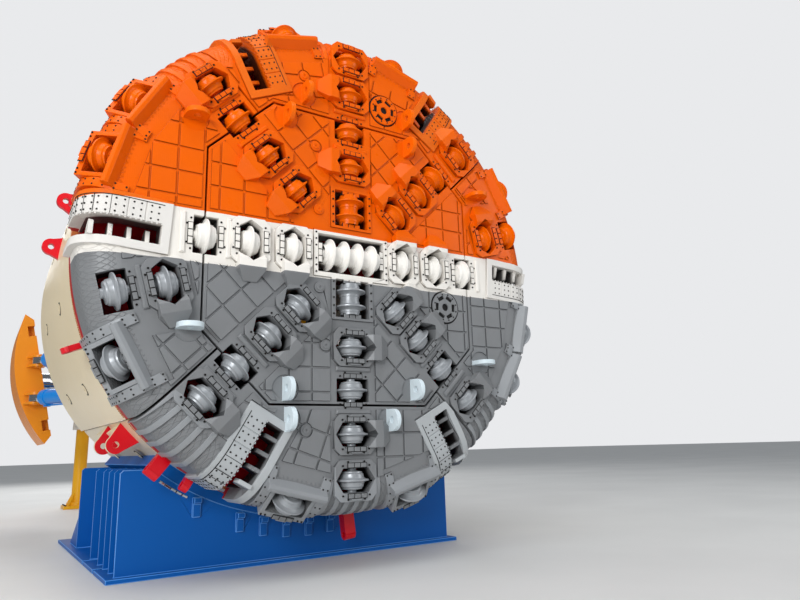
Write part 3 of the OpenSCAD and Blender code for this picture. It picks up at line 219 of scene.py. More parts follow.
def join(name, made):
    """Joins objects into one piece."""
    bpy.ops.object.select_all(action="DESELECT")
    for piece in made:
        piece.select_set(True)
    bpy.context.view_layer.objects.active = made[0]
    if len(made) > 1:
        bpy.ops.object.join()
    joined = bpy.context.object
    joined.name = joined.data.name = name
    return joined


def repeat(name, model, places):
    """Copies a model to each place, each copy with its own mesh, and joins them."""
    made = []
    for place in places:
        copy = model.copy()
        copy.data = model.data.copy()
        copy.data.transform(place)
        bpy.context.scene.collection.objects.link(copy)
        made.append(copy)
    return join(name, made)


def drop(*models):
    """Removes models that have been copied."""
    for model in models:
        bpy.data.objects.remove(model)


def give(piece, body, material):
    """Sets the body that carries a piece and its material."""
    piece.data.materials.clear()
    piece.data.materials.append(material)
    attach(piece, body)
    return piece


# Materials


def linear(colour):
    """sRGB hex to linear RGBA."""
    channels = [int(colour[i : i + 2], 16) / 255 for i in (1, 3, 5)]
    return (*[c / 12.92 if c <= 0.04045 else ((c + 0.055) / 1.055) ** 2.4 for c in channels], 1.0)


def add(tree, kind, inputs=None, **settings):
    """Adds a node with its settings; an input is a value, or the socket that feeds it."""
    made = tree.nodes.new("ShaderNode" + kind)
    for name, value in settings.items():
        setattr(made, name, value)
    for name, value in (inputs or {}).items():
        if isinstance(value, bpy.types.NodeSocket):
            tree.links.new(value, made.inputs[name])
        else:
            made.inputs[name].default_value = value
    return made


def new_material(name):
    """Material with its tree, shader and object coordinates."""
    made = bpy.data.materials.new(name)
    made.use_nodes = True
    tree = made.node_tree
    shader = tree.nodes["Principled BSDF"]
    place = add(tree, "TexCoord").outputs["Object"]
    return made, tree, shader, place


def mix(tree, factor, low, high):
    """Colour between two, by a factor."""
    node = add(tree, "Mix", data_type="RGBA")
    for socket, value in ((node.inputs[0], factor), (node.inputs[6], low), (node.inputs[7], high)):
        if isinstance(value, bpy.types.NodeSocket):
            tree.links.new(value, socket)
        else:
            socket.default_value = value
    return node.outputs[2]


def between(tree, value, low, high, to_low=0.0, to_high=1.0):
    """Maps a value from one range to another and holds it there."""
    return add(tree, "MapRange", {0: value, 1: low, 2: high, 3: to_low, 4: to_high}).outputs[0]


def noise(tree, place, size, detail=3.0, roughness=0.5):
    """Noise whose blotches are about size metres across."""
    return add(tree, "TexNoise", {"Vector": place, "Scale": 1 / size, "Detail": detail,
                                  "Roughness": roughness}).outputs[0]


def bump(tree, shader, height, distance):
    """Relief from a height, distance metres deep."""
    node = add(tree, "Bump", {"Height": height, "Distance": distance})
    tree.links.new(node.outputs[0], shader.inputs["Normal"])


def worked(tree, operation, *values):
    """One step of arithmetic on values or sockets."""
    return add(tree, "Math", dict(enumerate(values)), operation=operation).outputs[0]


def worn_paint(name, colour, rough=0.32, dust=0.1, soil="#5a5248", peel=0.0001, gloss=0.4):
    """Sprayed enamel on plate: even colour, orange peel a tenth of a millimetre deep, faint dust."""
    made, tree, shader, place = new_material(name)
    blotch = noise(tree, place, 1.3, 2.0, 0.4)
    fine = noise(tree, place, 0.3, 2.0, 0.4)
    soiled = between(tree, blotch, 0.5, 0.85, 0.0, dust)
    tree.links.new(mix(tree, soiled, linear(colour), linear(soil)), shader.inputs["Base Color"])
    tree.links.new(between(tree, fine, 0.3, 0.7, rough - 0.01, rough + 0.03), shader.inputs["Roughness"])
    shader.inputs["Specular IOR Level"].default_value = gloss
    # Orange peel is a few millimetres across, and drawn at 80 mm so that it shows
    bump(tree, shader, noise(tree, place, 0.08, 2.0), peel)
    return made


def metal(name, colour, rough=0.3, grain=0.0001):
    """Machined steel: metallic, with fine turned grain that spreads the highlight."""
    made, tree, shader, place = new_material(name)
    # Tool marks are under a millimetre apart, and drawn as grain of 20 mm so that they show
    fine = noise(tree, place, 0.02, 3.0)
    blotch = noise(tree, place, 0.4, 4.0)
    dull = [channel * 0.75 for channel in linear(colour)[:3]] + [1.0]
    worn = mix(tree, between(tree, blotch, 0.3, 0.75), linear(colour), dull)
    tree.links.new(worn, shader.inputs["Base Color"])
    shader.inputs["Metallic"].default_value = 1.0
    tree.links.new(between(tree, fine, 0.3, 0.7, rough - 0.04, rough + 0.08), shader.inputs["Roughness"])
    bump(tree, shader, fine, grain)
    return made


def tread_plate(name, colour):
    """Galvanised tread plate: raised studs 30 mm apart in crossed rows."""
    made, tree, shader, place = new_material(name)
    shader.inputs["Base Color"].default_value = linear(colour)
    shader.inputs["Metallic"].default_value = 0.7
    shader.inputs["Roughness"].default_value = 0.45
    rows = [add(tree, "TexWave", {"Vector": place, "Scale": 10.0}, bands_direction=axis).outputs["Fac"]
            for axis in ("X", "Y")]
    bump(tree, shader, worked(tree, "MULTIPLY", *rows), 0.003)
    return made


def head_axes(tree, place):
    """Axes from the face's centre, and the radius from the head's axis."""
    from_face = add(tree, "VectorMath", {0: place, 1: tuple(FACE)}, operation="SUBTRACT").outputs[0]
    axes = add(tree, "SeparateXYZ", {0: from_face}).outputs
    radius = worked(tree, "SQRT", worked(tree, "ADD", worked(tree, "MULTIPLY", axes["X"], axes["X"]),
                                         worked(tree, "MULTIPLY", axes["Z"], axes["Z"])))
    return axes, radius


def weld_lattice(tree, axes, radius):
    """Crossed beads of hard weld on the corner and the rim: 1 on a bead, 0 beside it and on the flat face."""
    angle = worked(tree, "ARCTAN2", axes["Z"], axes["X"])
    around = worked(tree, "MULTIPLY", angle, LATTICE_RADIUS)
    along = worked(tree, "SUBTRACT", axes["Y"], radius)
    per_metre = math.pi / LATTICE_STEP
    beads = []
    for step in ("ADD", "SUBTRACT"):
        phase = worked(tree, "MULTIPLY", worked(tree, step, around, along), per_metre)
        beads.append(worked(tree, "ABSOLUTE", worked(tree, "SINE", phase)))
    bead = between(tree, worked(tree, "MINIMUM", *beads), 0.0, 0.3, 1.0, 0.0)
    return worked(tree, "MULTIPLY", bead, worked(tree, "GREATER_THAN", radius, LATTICE_START))


def head_paint(name, upper, band, lower, lower_metal, lower_rough, upper_rough=0.3, band_rough=0.36,
               plain=True):
    """Three coats of the cutterhead by height: one above the white band, the band, one below it."""
    made, tree, shader, place = new_material(name)
    height = add(tree, "SeparateXYZ", {0: place}).outputs["Z"]
    level = worked(tree, "ADD", height, between(tree, noise(tree, place, 0.5), 0.3, 0.7, -0.004, 0.004))
    above = worked(tree, "GREATER_THAN", level, FACE.z + BAND_TOP)
    inside = worked(tree, "GREATER_THAN", level, FACE.z + BAND_LOW)
    grime = between(tree, noise(tree, place, 0.7, 3.0, 0.45), 0.45, 0.85, 0.0, 0.1)
    coats = mix(tree, above, mix(tree, inside, linear(lower), linear(band)), linear(upper))
    coats = mix(tree, grime, coats, linear("#4c4238"))
    if not plain:
        # Painted shade in the pockets and buckets, darkening from 25 mm below the skin, which drops back at the
        # corner
        axes, radius = head_axes(tree, place)
        past = worked(tree, "MAXIMUM", worked(tree, "SUBTRACT", radius, CORNER_START), 0.0)
        skin = worked(tree, "MULTIPLY", worked(tree, "MULTIPLY", past, past), CORNER_CURVE)
        depth = between(tree, worked(tree, "SUBTRACT", axes["Y"], skin), 0.025, 0.1, 0.0, 0.94)
        painted_pocket_shade = worked(tree, "MULTIPLY", depth, worked(tree, "LESS_THAN", radius, INSIDE_RADIUS))
        coats = mix(tree, painted_pocket_shade, coats, linear("#0e0b0a"))
        # The rear edge of the rim carries the red of the back plate
        deep = worked(tree, "GREATER_THAN", axes["Y"], RED_RIM_DEPTH)
        outer = worked(tree, "GREATER_THAN", radius, RED_RIM_RADIUS)
        coats = mix(tree, worked(tree, "MULTIPLY", deep, outer), coats, linear("#b80a18"))
    tree.links.new(coats, shader.inputs["Base Color"])
    if lower_metal:
        tree.links.new(between(tree, inside, 0.0, 1.0, lower_metal, 0.0), shader.inputs["Metallic"])
    lower_part = between(tree, inside, 0.0, 1.0, lower_rough, band_rough)
    coat = add(tree, "Mix", {0: above, 2: lower_part, 3: upper_rough}, data_type="FLOAT").outputs[0]
    fine = noise(tree, place, 0.2, 2.0, 0.4)
    rough = worked(tree, "ADD", coat, between(tree, fine, 0.3, 0.7, -0.03, 0.06))
    tree.links.new(rough, shader.inputs["Roughness"])
    shader.inputs["Specular IOR Level"].default_value = 0.15
    if plain:
        return made
    # Milling marks 25 mm apart on the wear tiles, under the weld beads 5 mm high of the corner
    marks = add(tree, "TexWave", {"Vector": place, "Scale": 12.5, "Distortion": 0.4, "Detail": 1.0},
                bands_direction="X").outputs["Fac"]
    relief = worked(tree, "ADD", worked(tree, "MULTIPLY", marks, 0.06), weld_lattice(tree, axes, radius))
    bump(tree, shader, relief, 0.005)
    return made


# Cutterhead: semi-gloss enamel over steel plate, whose grey part is thin enough to show the metal
head_coats = head_paint("sprayed_head_enamel", "#e65f00", "#e9e5de", "#828486", 0.2, 0.45, plain=False)
# The same enamel on the walls of the grooves, dull and darker: painted shade
groove_shade_coats = head_paint("shaded_groove_enamel", "#a34300", "#a59f97", "#505254", 0.0, 0.6, 0.5, 0.5)
# Disc cutters: glossier enamel above, bright forged steel below
cutter_coats = head_paint("cutter_enamel_and_steel", "#e86400", "#efece6", "#a3a7ab", 0.35, 0.34, 0.22, 0.3)
# Hard wear plates and rim bars: paler, dull, rubbed by handling
wear_coats = head_paint("bolted_wear_plate", "#e0660f", "#dcd9d4", "#b4b8ba", 0.2, 0.45, 0.42, 0.45)
bar_coats = head_paint("rim_bar_enamel", "#e65f00", "#e9e5de", "#94979a", 0.2, 0.42)
# Lugs welded on last, in pale primer below the band
lug_coats = head_paint("face_lug_enamel", "#ee6804", "#e9e5de", "#d3e0e6", 0.0, 0.3)
# Enamels of the machine: glossy, even colour with faint dust; the primer of the shield is smoothest
red_paint = worn_paint("red_enamel", "#d3061c", 0.3)
cream_paint = worn_paint("cream_primer_gloss", "#ecdab6", 0.3, 0.06, "#b39b70", 0.00001)
blue_paint = worn_paint("blue_enamel", "#0257a8", 0.4, 0.02, gloss=0.2)
# Paler blue for the cradle's eased edges: a painted highlight
blue_edge_highlight = worn_paint("painted_highlight_blue_edge", "#4f93dd", 0.45, 0.2, "#c9d3dc")
sky_blue_paint = worn_paint("light_blue_enamel", "#0f86dc", 0.3, 0.06)
amber_paint = worn_paint("amber_enamel", "#ee8e0c", 0.34, 0.1)
yellow_paint = worn_paint("yellow_enamel", "#efb010", 0.34, 0.1)
white_paint = worn_paint("machine_white_enamel", "#dcd9cf", 0.38, 0.12)
# Bare edges and deep shadows: rough scale with brown patches, and dull black
edge_rust = worn_paint("cut_edge_rust", "#b0622c", 0.7, 0.5, "#6e3a1c", 0.001)
pocket_black = worn_paint("pocket_shadow_black", "#0c0b0b", 0.6, 0.3, "#2a2522")
# Steels: oiled pipe, mirror chrome of the rods, blackened bolts, galvanised tread
dark_steel = metal("oiled_dark_steel", "#4a4d52", 0.35)
chrome = metal("hard_chrome", "#dfe2e6", 0.08, 0.00002)
bolt_steel = metal("blackened_bolt_steel", "#3a3836", 0.42)
tread_steel = tread_plate("tread_plate_steel", "#8d9196")
# Conveyor belt: matt rubber with pale stone dust
belt_rubber = worn_paint("belt_rubber", "#1d1d1e", 0.7, 0.25, "#6b6459", 0.001)

COATS = {
    "cradle": blue_paint, "cutterhead_rotor": red_paint, "face_cutters": cutter_coats,
    "center_cutters": cutter_coats, "gauge_cutters": cutter_coats, "shield_roof": cream_paint,
    "shield_side_left": cream_paint, "shield_side_right": cream_paint, "shield_bottom": cream_paint,
    "finger_shield": cream_paint, "cutterhead_support": white_paint, "shield_jacks": yellow_paint,
    "drive_motors": sky_blue_paint, "main_beam_front": white_paint, "main_beam_rear": white_paint,
    "conveyor": belt_rubber, "propel_bracket": white_paint, "gripper_saddle": amber_paint,
    "gripper_cylinder": dark_steel, "gripper_shoe_left": amber_paint, "gripper_shoe_right": amber_paint,
    "gripper_rod_left": chrome, "gripper_rod_right": chrome, "propel_barrels_left": sky_blue_paint,
    "propel_barrels_right": sky_blue_paint, "propel_rods_left": chrome, "propel_rods_right": chrome,
    "rear_support": white_paint, "rear_leg_left": yellow_paint, "rear_leg_right": yellow_paint,
    "erector_carrier": yellow_paint, "erector_ring": yellow_paint, "drill_carriage": yellow_paint,
    "drill_left": red_paint, "drill_right": red_paint, "tow_bracket": yellow_paint,
    "cutterhead_center": head_coats, "cutterhead_top": head_coats, "cutterhead_left": head_coats,
    "cutterhead_bottom": head_coats, "cutterhead_right": head_coats,
}
# Body of each node, as in the record
BODY_OF = {name: body for body, names in frame["record"]["behaviour"]["bodies"].items() for name in names}


def from_axis(point):
    """Radius, depth behind the face and angle in degrees of a point."""
    place = point - FACE
    return math.hypot(place.x, place.z), place.y, math.degrees(math.atan2(place.z, place.x)) % 360


def above_skin(radius, depth):
    """Height of a point above the bare skin of the head: face, curved corner or rim."""
    if radius < CORNER_START:
        return -depth
    if depth > CORNER_DROP:
        return radius - RIM_RADIUS
    share = math.hypot((radius - CORNER_START) / CORNER_REACH, (CORNER_DROP - depth) / CORNER_DROP)
    return (share - 1) * (CORNER_REACH + CORNER_DROP) / 2


def on_wear_strip(centre, normal):
    """True on the bolted plates along a bucket opening and on its far lip."""
    radius, depth, angle = from_axis(centre)
    if radius < STRIP_START or above_skin(radius, depth) < PLATE_RISE:
        return False
    for bucket in BUCKET_ANGLES:
        aside = radius * math.sin(math.radians(angle - bucket))
        if math.cos(math.radians(angle - bucket)) > 0 and STRIP_LOW < aside < STRIP_HIGH:
            return True
    return False


def on_rim_bar(centre, normal):
    """True on the bars that stand out of the corner and the rim."""
    radius, depth, _ = from_axis(centre)
    return radius > CORNER_START and above_skin(radius, depth) > BAR_RISE


def on_groove_wall(centre, normal):
    """True on the low walls of the grooves between the wear tiles, which carry painted shade."""
    radius, depth, _ = from_axis(centre)
    return radius < CORNER_START and abs(normal.y) < 0.3 and -GROOVE_DEPTH < depth < -0.001


def on_face_lug(centre, normal):
    """True on the lifting lugs of the face."""
    place = centre - FACE
    for x, z in FACE_LUGS:
        across, up = abs(place.x - x), abs(place.z - z)
        # The plates of the outer segments' lugs lie level
        thick, wide = (up, across) if abs(x) > LEVEL_LUGS else (across, up)
        if thick < LUG_THICK and wide < LUG_WIDE and place.y < -LUG_RISE:
            return True
    return False


def on_shield_lug(centre, normal):
    """True on the lugs that stand out of the shield."""
    return from_axis(centre)[0] > SHIELD_RADIUS + 0.012


def on_red_lug(centre, normal):
    """True on the front faces of the low lugs."""
    return from_axis(centre)[0] > SHIELD_RADIUS + 0.02 and normal.y < -0.8


def on_cut_edge(centre, normal):
    """True on the shell's front edge, left unpainted by the torch."""
    return normal.y < -0.8 and from_axis(centre)[1] < SHIELD_FRONT + 0.03


# Regions of a node that carry another coat: coat and test
REGIONS = {
    "shield_roof": [(edge_rust, on_cut_edge)],
    "shield_side_left": [(red_paint, on_shield_lug), (edge_rust, on_cut_edge)],
    "shield_side_right": [(red_paint, on_shield_lug), (edge_rust, on_cut_edge)],
    "shield_bottom": [(red_paint, on_red_lug), (edge_rust, on_cut_edge)],
}
for name in HEAD_NODES:
    REGIONS[name] = [(lug_coats, on_face_lug), (wear_coats, on_wear_strip), (bar_coats, on_rim_bar),
                     (groove_shade_coats, on_groove_wall)]
# Lighter coats on a node's eased edges: a painted highlight
EDGE_HIGHLIGHTS = {"cradle": blue_edge_highlight}


def dressed(node, edge=EASE):
    """Copy of a CAD node with merged faces and eased edges, which stands for it."""
    bpy.ops.object.select_all(action="DESELECT")
    made = nodes[node].copy()
    made.data = nodes[node].data.copy()
    made.parent = None
    for key in list(made.keys()):
        del made[key]
    made.name = made.data.name = f"{node}_plate"
    bpy.context.scene.collection.objects.link(made)
    made.select_set(True)
    bpy.context.view_layer.objects.active = made
    bpy.ops.object.mode_set(mode="EDIT")
    bpy.ops.mesh.select_all(action="SELECT")
    bpy.ops.mesh.remove_doubles(threshold=SAME_POINT)
    bpy.ops.mesh.dissolve_limited(angle_limit=FLAT_ANGLE)
    bpy.ops.mesh.quads_convert_to_tris(ngon_method="BEAUTY")
    bpy.ops.object.mode_set(mode="OBJECT")
    regions = REGIONS.get(node, [])
    give(made, BODY_OF[node], COATS[node])
    for coat, _ in regions:
        made.data.materials.append(coat)
    if node in EDGE_HIGHLIGHTS:
        made.data.materials.append(EDGE_HIGHLIGHTS[node])
    for face in made.data.polygons:
        for slot, (_, test) in enumerate(regions, 1):
            if test(face.center, face.normal):
                face.material_index = slot
                break
    modify(made, "BEVEL", width=edge, segments=2, limit_method="ANGLE", angle_limit=SHARP_ANGLE,
           use_clamp_overlap=False, miter_outer="MITER_ARC",
           material=len(regions) + 1 if node in EDGE_HIGHLIGHTS else -1)
    bpy.ops.object.shade_smooth_by_angle(angle=SHARP_ANGLE)
    modify(made, "WEIGHTED_NORMAL", keep_sharp=True)
    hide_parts(node)
    return made


# Camera


def aim_camera():
    """Camera where the photograph was taken from."""
    data = bpy.data.cameras.new("view")
    data.sensor_width = 36
    data.lens = CAMERA_LENS
    data.clip_end = 500
    camera = bpy.data.objects.new("view", data)
    bpy.context.scene.collection.objects.link(camera)
    level = math.cos(CAMERA_PITCH)
    forward = Vector((math.sin(CAMERA_YAW) * level, math.cos(CAMERA_YAW) * level, math.sin(CAMERA_PITCH)))
    right = Vector((math.cos(CAMERA_YAW), -math.sin(CAMERA_YAW), 0))
    up = right.cross(forward)
    turned_right = math.cos(CAMERA_ROLL) * right - math.sin(CAMERA_ROLL) * up
    turned_up = math.sin(CAMERA_ROLL) * right + math.cos(CAMERA_ROLL) * up
    axes = Matrix((turned_right, turned_up, -forward)).transposed()
    camera.matrix_world = Matrix.Translation(FACE + CAMERA_PLACE) @ axes.to_4x4()
    bpy.context.scene.camera = camera


def make_stage():
    """Pale floor, pale surroundings and soft lamps."""
    floor = start("plane", "floor", size=400)
    bpy.ops.mesh.select_all(action="SELECT")
    bpy.ops.transform.translate(value=(0, 0, -0.002))
    close(floor)
    made, tree, shader, place = new_material("pale_floor")
    patches = between(tree, noise(tree, place, 3.0, 4.0), 0.3, 0.7)
    tone = mix(tree, patches, linear("#d6d6d4"), linear("#dededc"))
    tree.links.new(tone, shader.inputs["Base Color"])
    shader.inputs["Roughness"].default_value = 0.55
    floor.data.materials.append(made)

    world = bpy.data.worlds.new("studio")
    bpy.context.scene.world = world
    world.use_nodes = True
    tree = world.node_tree
    backdrop = tree.nodes["Background"]
    backdrop.inputs["Color"].default_value = linear("#dfe4ea")
    ray = add(tree, "LightPath")
    # Reflections see the surroundings darker than they light, so that the paints keep their colour
    strength = between(tree, ray.outputs["Is Glossy Ray"], 0.0, 1.0, 0.55, 0.2)
    tree.links.new(strength, backdrop.inputs["Strength"])
    seen = add(tree, "Background", {"Color": linear("#e9eaec"), "Strength": 1.0})
    straight = worked(tree, "MAXIMUM", ray.outputs["Is Camera Ray"], ray.outputs["Is Transmission Ray"])
    blend = add(tree, "MixShader", {0: straight, 1: backdrop.outputs[0], 2: seen.outputs[0]})
    tree.links.new(blend.outputs[0], tree.nodes["World Output"].inputs["Surface"])

    # Lamps: name, place, target, width, height, watts
    for name, place, target, width, height, watts in (
        ("roof_light", (-6, -12, 20), (0, -4, 3), 22, 14, 1900),
        ("front_light", (-18, -26, 9), (0, -9, 4), 12, 9, 3900),
        ("side_light", (20, -22, 12), (0, -6, 4), 10, 10, 900),
        ("back_light", (4, 26, 18), (0, 4, 3), 20, 12, 4200),
    ):
        data = bpy.data.lights.new(name, "AREA")
        data.shape = "RECTANGLE"
        data.size, data.size_y, data.energy = width, height, watts
        lamp = bpy.data.objects.new(name, data)
        bpy.context.scene.collection.objects.link(lamp)
        lamp.location = place
        lamp.rotation_euler = (Vector(target) - Vector(place)).to_track_quat("-Z", "Y").to_euler()
    bpy.context.scene.view_settings.view_transform = "Standard"


# Places on the cutterhead


def on_spoke(radius, angle, depth=0.0):
    """Place on the face at a radius and an angle in degrees: X outwards, Y into the face."""
    turn = Matrix.Rotation(-math.radians(angle), 4, "Y")
    return Matrix.Translation(FACE) @ turn @ Matrix.Translation((radius, depth, 0))


def gauge_place(angle):
    """Place of a gauge cutter, tilted to the corner of the head."""
    return on_spoke(GAUGE_RADIUS, angle, GAUGE_DEPTH) @ Matrix.Rotation(GAUGE_TILT, 4, "Z")


# Disc cutters


def both_sides(half):
    """Mirrors half an outline, from the middle out, to the other side."""
    return [(-along, radius) for along, radius in reversed(half)] + half


# Half outlines from the middle out, as (along the axle, radius): blade, hub, hub between two rings
RING = [(0.008, 0.2395), (0.011, 0.236), (0.014, 0.214), (0.02, 0.194)]
HUB = [(0.032, 0.176), (0.044, 0.171), (0.085, 0.164), (0.1, 0.148), (0.119, 0.142), (0.124, 0.09),
       (0.13, 0.084)]
ROW_HUB = [(0.034, 0.17), (0.048, 0.153), (0.08, 0.15), (0.084, 0.142), (RING_HALF, 0.14)]


def cutter_model(end):
    """One disc cutter with its axle along X: ring, hub with retaining ring, seals and axle ends."""
    half = RING + HUB + [(0.132, 0.062), (end - 0.004, 0.062), (end, 0.058), (end, 0.0)]
    return lathe("disc_cutter_model", both_sides(half), steps=56, smooth=18)


def make_cutters():
    """Disc cutters of the face, the centre and the gauge corner."""
    single = cutter_model(0.1647)
    face_places = [on_spoke(radius, angle, AXLE_DEPTH) for angle, radii in SPOKES for radius in radii]
    face = repeat("face_disc_cutters", single, face_places)
    give(face, "cutterhead", cutter_coats)
    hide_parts("face_cutters")
    gauge = repeat("gauge_disc_cutters", single, [gauge_place(angle) for angle in GAUGE_ANGLES])
    give(gauge, "cutterhead", cutter_coats)
    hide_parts("gauge_cutters")
    drop(single)

    row_model = lathe("row_cutter_model", both_sides(RING + ROW_HUB), steps=56, smooth=18)
    pairs = [Matrix.Translation(FACE + Vector((0, AXLE_DEPTH, height))) @ Matrix.Rotation(-QUARTER, 4, "Y")
             for height in TWIN_HEIGHTS]
    level = [on_spoke(along, 0, AXLE_DEPTH) for along in CENTER_RINGS]
    upright = [pair @ Matrix.Translation((side * RING_HALF, 0, 0)) for pair in pairs for side in (-1, 1)]
    # Axles of the row and of the pairs, from one that is a metre long
    axle_model = lathe("axle_model", [(-0.5, 0.0), (-0.5, 0.08), (0.5, 0.08), (0.5, 0.0)], 32)
    lengths = [(on_spoke(0, 0, AXLE_DEPTH), 1.1194)] + [(pair, 0.5694) for pair in pairs]
    spans = [place @ Matrix.Scale(length, 4, (1, 0, 0)) for place, length in lengths]
    axles = repeat("row_axles", axle_model, spans)
    rows = repeat("row_rings", row_model, level + upright)
    center = join("center_disc_cutters", [rows, axles])
    give(center, "cutterhead", cutter_coats)
    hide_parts("center_cutters")
    drop(row_model, axle_model)


# Flat details, made with Z out of the surface and then set on it


def flat(place, across=0.0, up=0.0, rise=0.0):
    """Frame of a flat detail moved on a surface: its Z stands out of the surface."""
    return place @ Matrix.Translation((across, -rise, up)) @ Matrix.Rotation(QUARTER, 4, "X")


def on_face(across, up, rise=0.0):
    """Frame of a flat detail on the face, at a place from its centre."""
    return flat(Matrix.Translation(FACE), across, up, rise)


def over_corner(angle, along, aside, rise):
    """Frame of a detail on the skin of the head, at a length along it from where the corner starts."""
    turn = math.radians(min(max(along / CORNER_LENGTH * 90, 0), 90))
    radius = CORNER_START + CORNER_REACH * math.sin(turn) + min(along, 0)
    depth = CORNER_DROP * (1 - math.cos(turn)) + max(along - CORNER_LENGTH, 0)
    lean = math.atan2(CORNER_DROP * math.sin(turn), CORNER_REACH * math.cos(turn))
    place = on_spoke(radius, angle, depth) @ Matrix.Rotation(lean, 4, "Z")
    return flat(place, 0.0, aside, rise)


def block_model(name, length, width, height, ease):
    """Block with a chamfered top, its foot on the surface."""
    made = start("cube", name, size=1)
    bpy.ops.mesh.select_all(action="SELECT")
    bpy.ops.transform.resize(value=(length, width, height))
    bpy.ops.transform.translate(value=(0, 0, height / 2))
    pick(made, top)
    bpy.ops.mesh.bevel(offset=ease, segments=1, affect="EDGES")
    return close(made)


def screw_model(radius, height):
    """Socket screw: chamfered head with the key's hole pressed in."""
    made = start("cylinder", "screw_model", vertices=8, radius=radius, depth=height)
    bpy.ops.mesh.select_all(action="SELECT")
    bpy.ops.transform.translate(value=(0, 0, height / 2))
    pick(made, top)
    bpy.ops.mesh.bevel(offset=radius * 0.15, segments=1, affect="EDGES")
    pick(made, top)
    bpy.ops.mesh.inset(thickness=radius * 0.35)
    bpy.ops.transform.translate(value=(0, 0, -height * 0.6))
    return close(made)


def disc_model(name, radius, height, hole=0.0, sides=48):
    """Round plate with an eased edge and a hole pressed in its middle."""
    made = start("cylinder", name, vertices=sides, radius=radius, depth=height)
    bpy.ops.mesh.select_all(action="SELECT")
    bpy.ops.transform.translate(value=(0, 0, height / 2))
    pick(made, top)
    bpy.ops.mesh.bevel(offset=height * 0.3, segments=1, affect="EDGES")
    if hole:
        pick(made, top)
        bpy.ops.mesh.inset(thickness=radius - height * 0.3 - hole)
        bpy.ops.mesh.extrude_region_move(TRANSFORM_OT_translate={"value": (0, 0, -height * 0.8)})
    return close(made)


def pocket_seats():
    """Every pocket on the spokes: frame, height of its clamps' top, whether it is square, and radius."""
    seats = []
    for angle, radii in SPOKES:
        for radius in radii:
            square = (angle, radius) in SQUARE_POCKETS
            seats.append((on_spoke(radius, angle), 0.0 if square else 0.088, square, radius))
    return seats


# Side of an axle's clamps from the middle of its cutter
CLAMP_ASIDE = 0.204


def make_clamps():
    """Jaw blocks over the axles' ends on dark plates of painted shade, with their screws."""
    ends, screws = [], []
    # Screws of a pocket: side from its middle, height along it
    pocket_screws = ((0.2, -0.21), (0.252, -0.13), (0.252, 0.13), (0.2, 0.21))
    for place, rise, square, radius in pocket_seats():
        for side in (-1, 1):
            if square and side * radius > 3.3:
                continue
            ends.append(flat(place, side * CLAMP_ASIDE, 0, rise))
            screws += [flat(place, side * aside, up, 0.0 if square else 0.06) for aside, up in pocket_screws]
    for angle in GAUGE_ANGLES:
        for side in (-1, 1):
            ends.append(flat(gauge_place(angle), side * CLAMP_ASIDE, 0, 0.106))
            screws += [flat(gauge_place(angle), side * 0.225, up, 0.078) for up in (-0.3, -0.24, 0.24, 0.3)]
    # The rows in the middle are held at their ends inside the pockets
    ends += [on_face(side * 0.52, 0, 0.005) for side in (-1, 1)]
    upright = Matrix.Rotation(QUARTER, 4, "Z")
    ends += [on_face(0, height + side * 0.26, 0.005) @ upright for height in TWIN_HEIGHTS for side in (-1, 1)]
    block = block_model("jaw_model", 0.058, 0.086, 0.016, 0.005)
    jaws = [end @ Matrix.Translation((0, step * 0.1, 0.004)) for end in ends for step in (-1, 0, 1)]
    give(repeat("axle_clamp_jaws", block, jaws), "cutterhead", head_coats)
    # A black plate under each set of jaws: painted shade in the gaps between and around them
    clamp_shade_plate = block_model("clamp_shade_plate_model", 0.076, 0.31, 0.008, 0.002)
    give(repeat("axle_clamp_painted_shade", clamp_shade_plate, ends), "cutterhead", pocket_black)
    # Screws beside the pockets of the row and of the pairs
    for side in (-1, 1):
        screws += [on_face(side * 0.595, up, 0.03) for up in (-0.3, -0.2, -0.1, 0.1, 0.2, 0.3)]
        screws += [on_face(side * 0.315, height + up, 0.03) for height in TWIN_HEIGHTS
                   for up in (-0.24, -0.12, 0, 0.12, 0.24)]
    screw = screw_model(0.014, 0.012)
    give(repeat("clamp_screws", screw, screws), "cutterhead", bolt_steel)
    drop(block, clamp_shade_plate, screw)


def make_ledges():
    """Stepped ledges above and below the square pockets."""
    ledge = block_model("ledge_model", 0.07, 0.56, 0.034, 0.016)
    places = [flat(place, side * 0.305) for place, _, square, radius in pocket_seats()
              for side in (-1, 1) if square and side * radius < 3]
    give(repeat("pocket_ledges", ledge, places), "cutterhead", head_coats)
    drop(ledge)


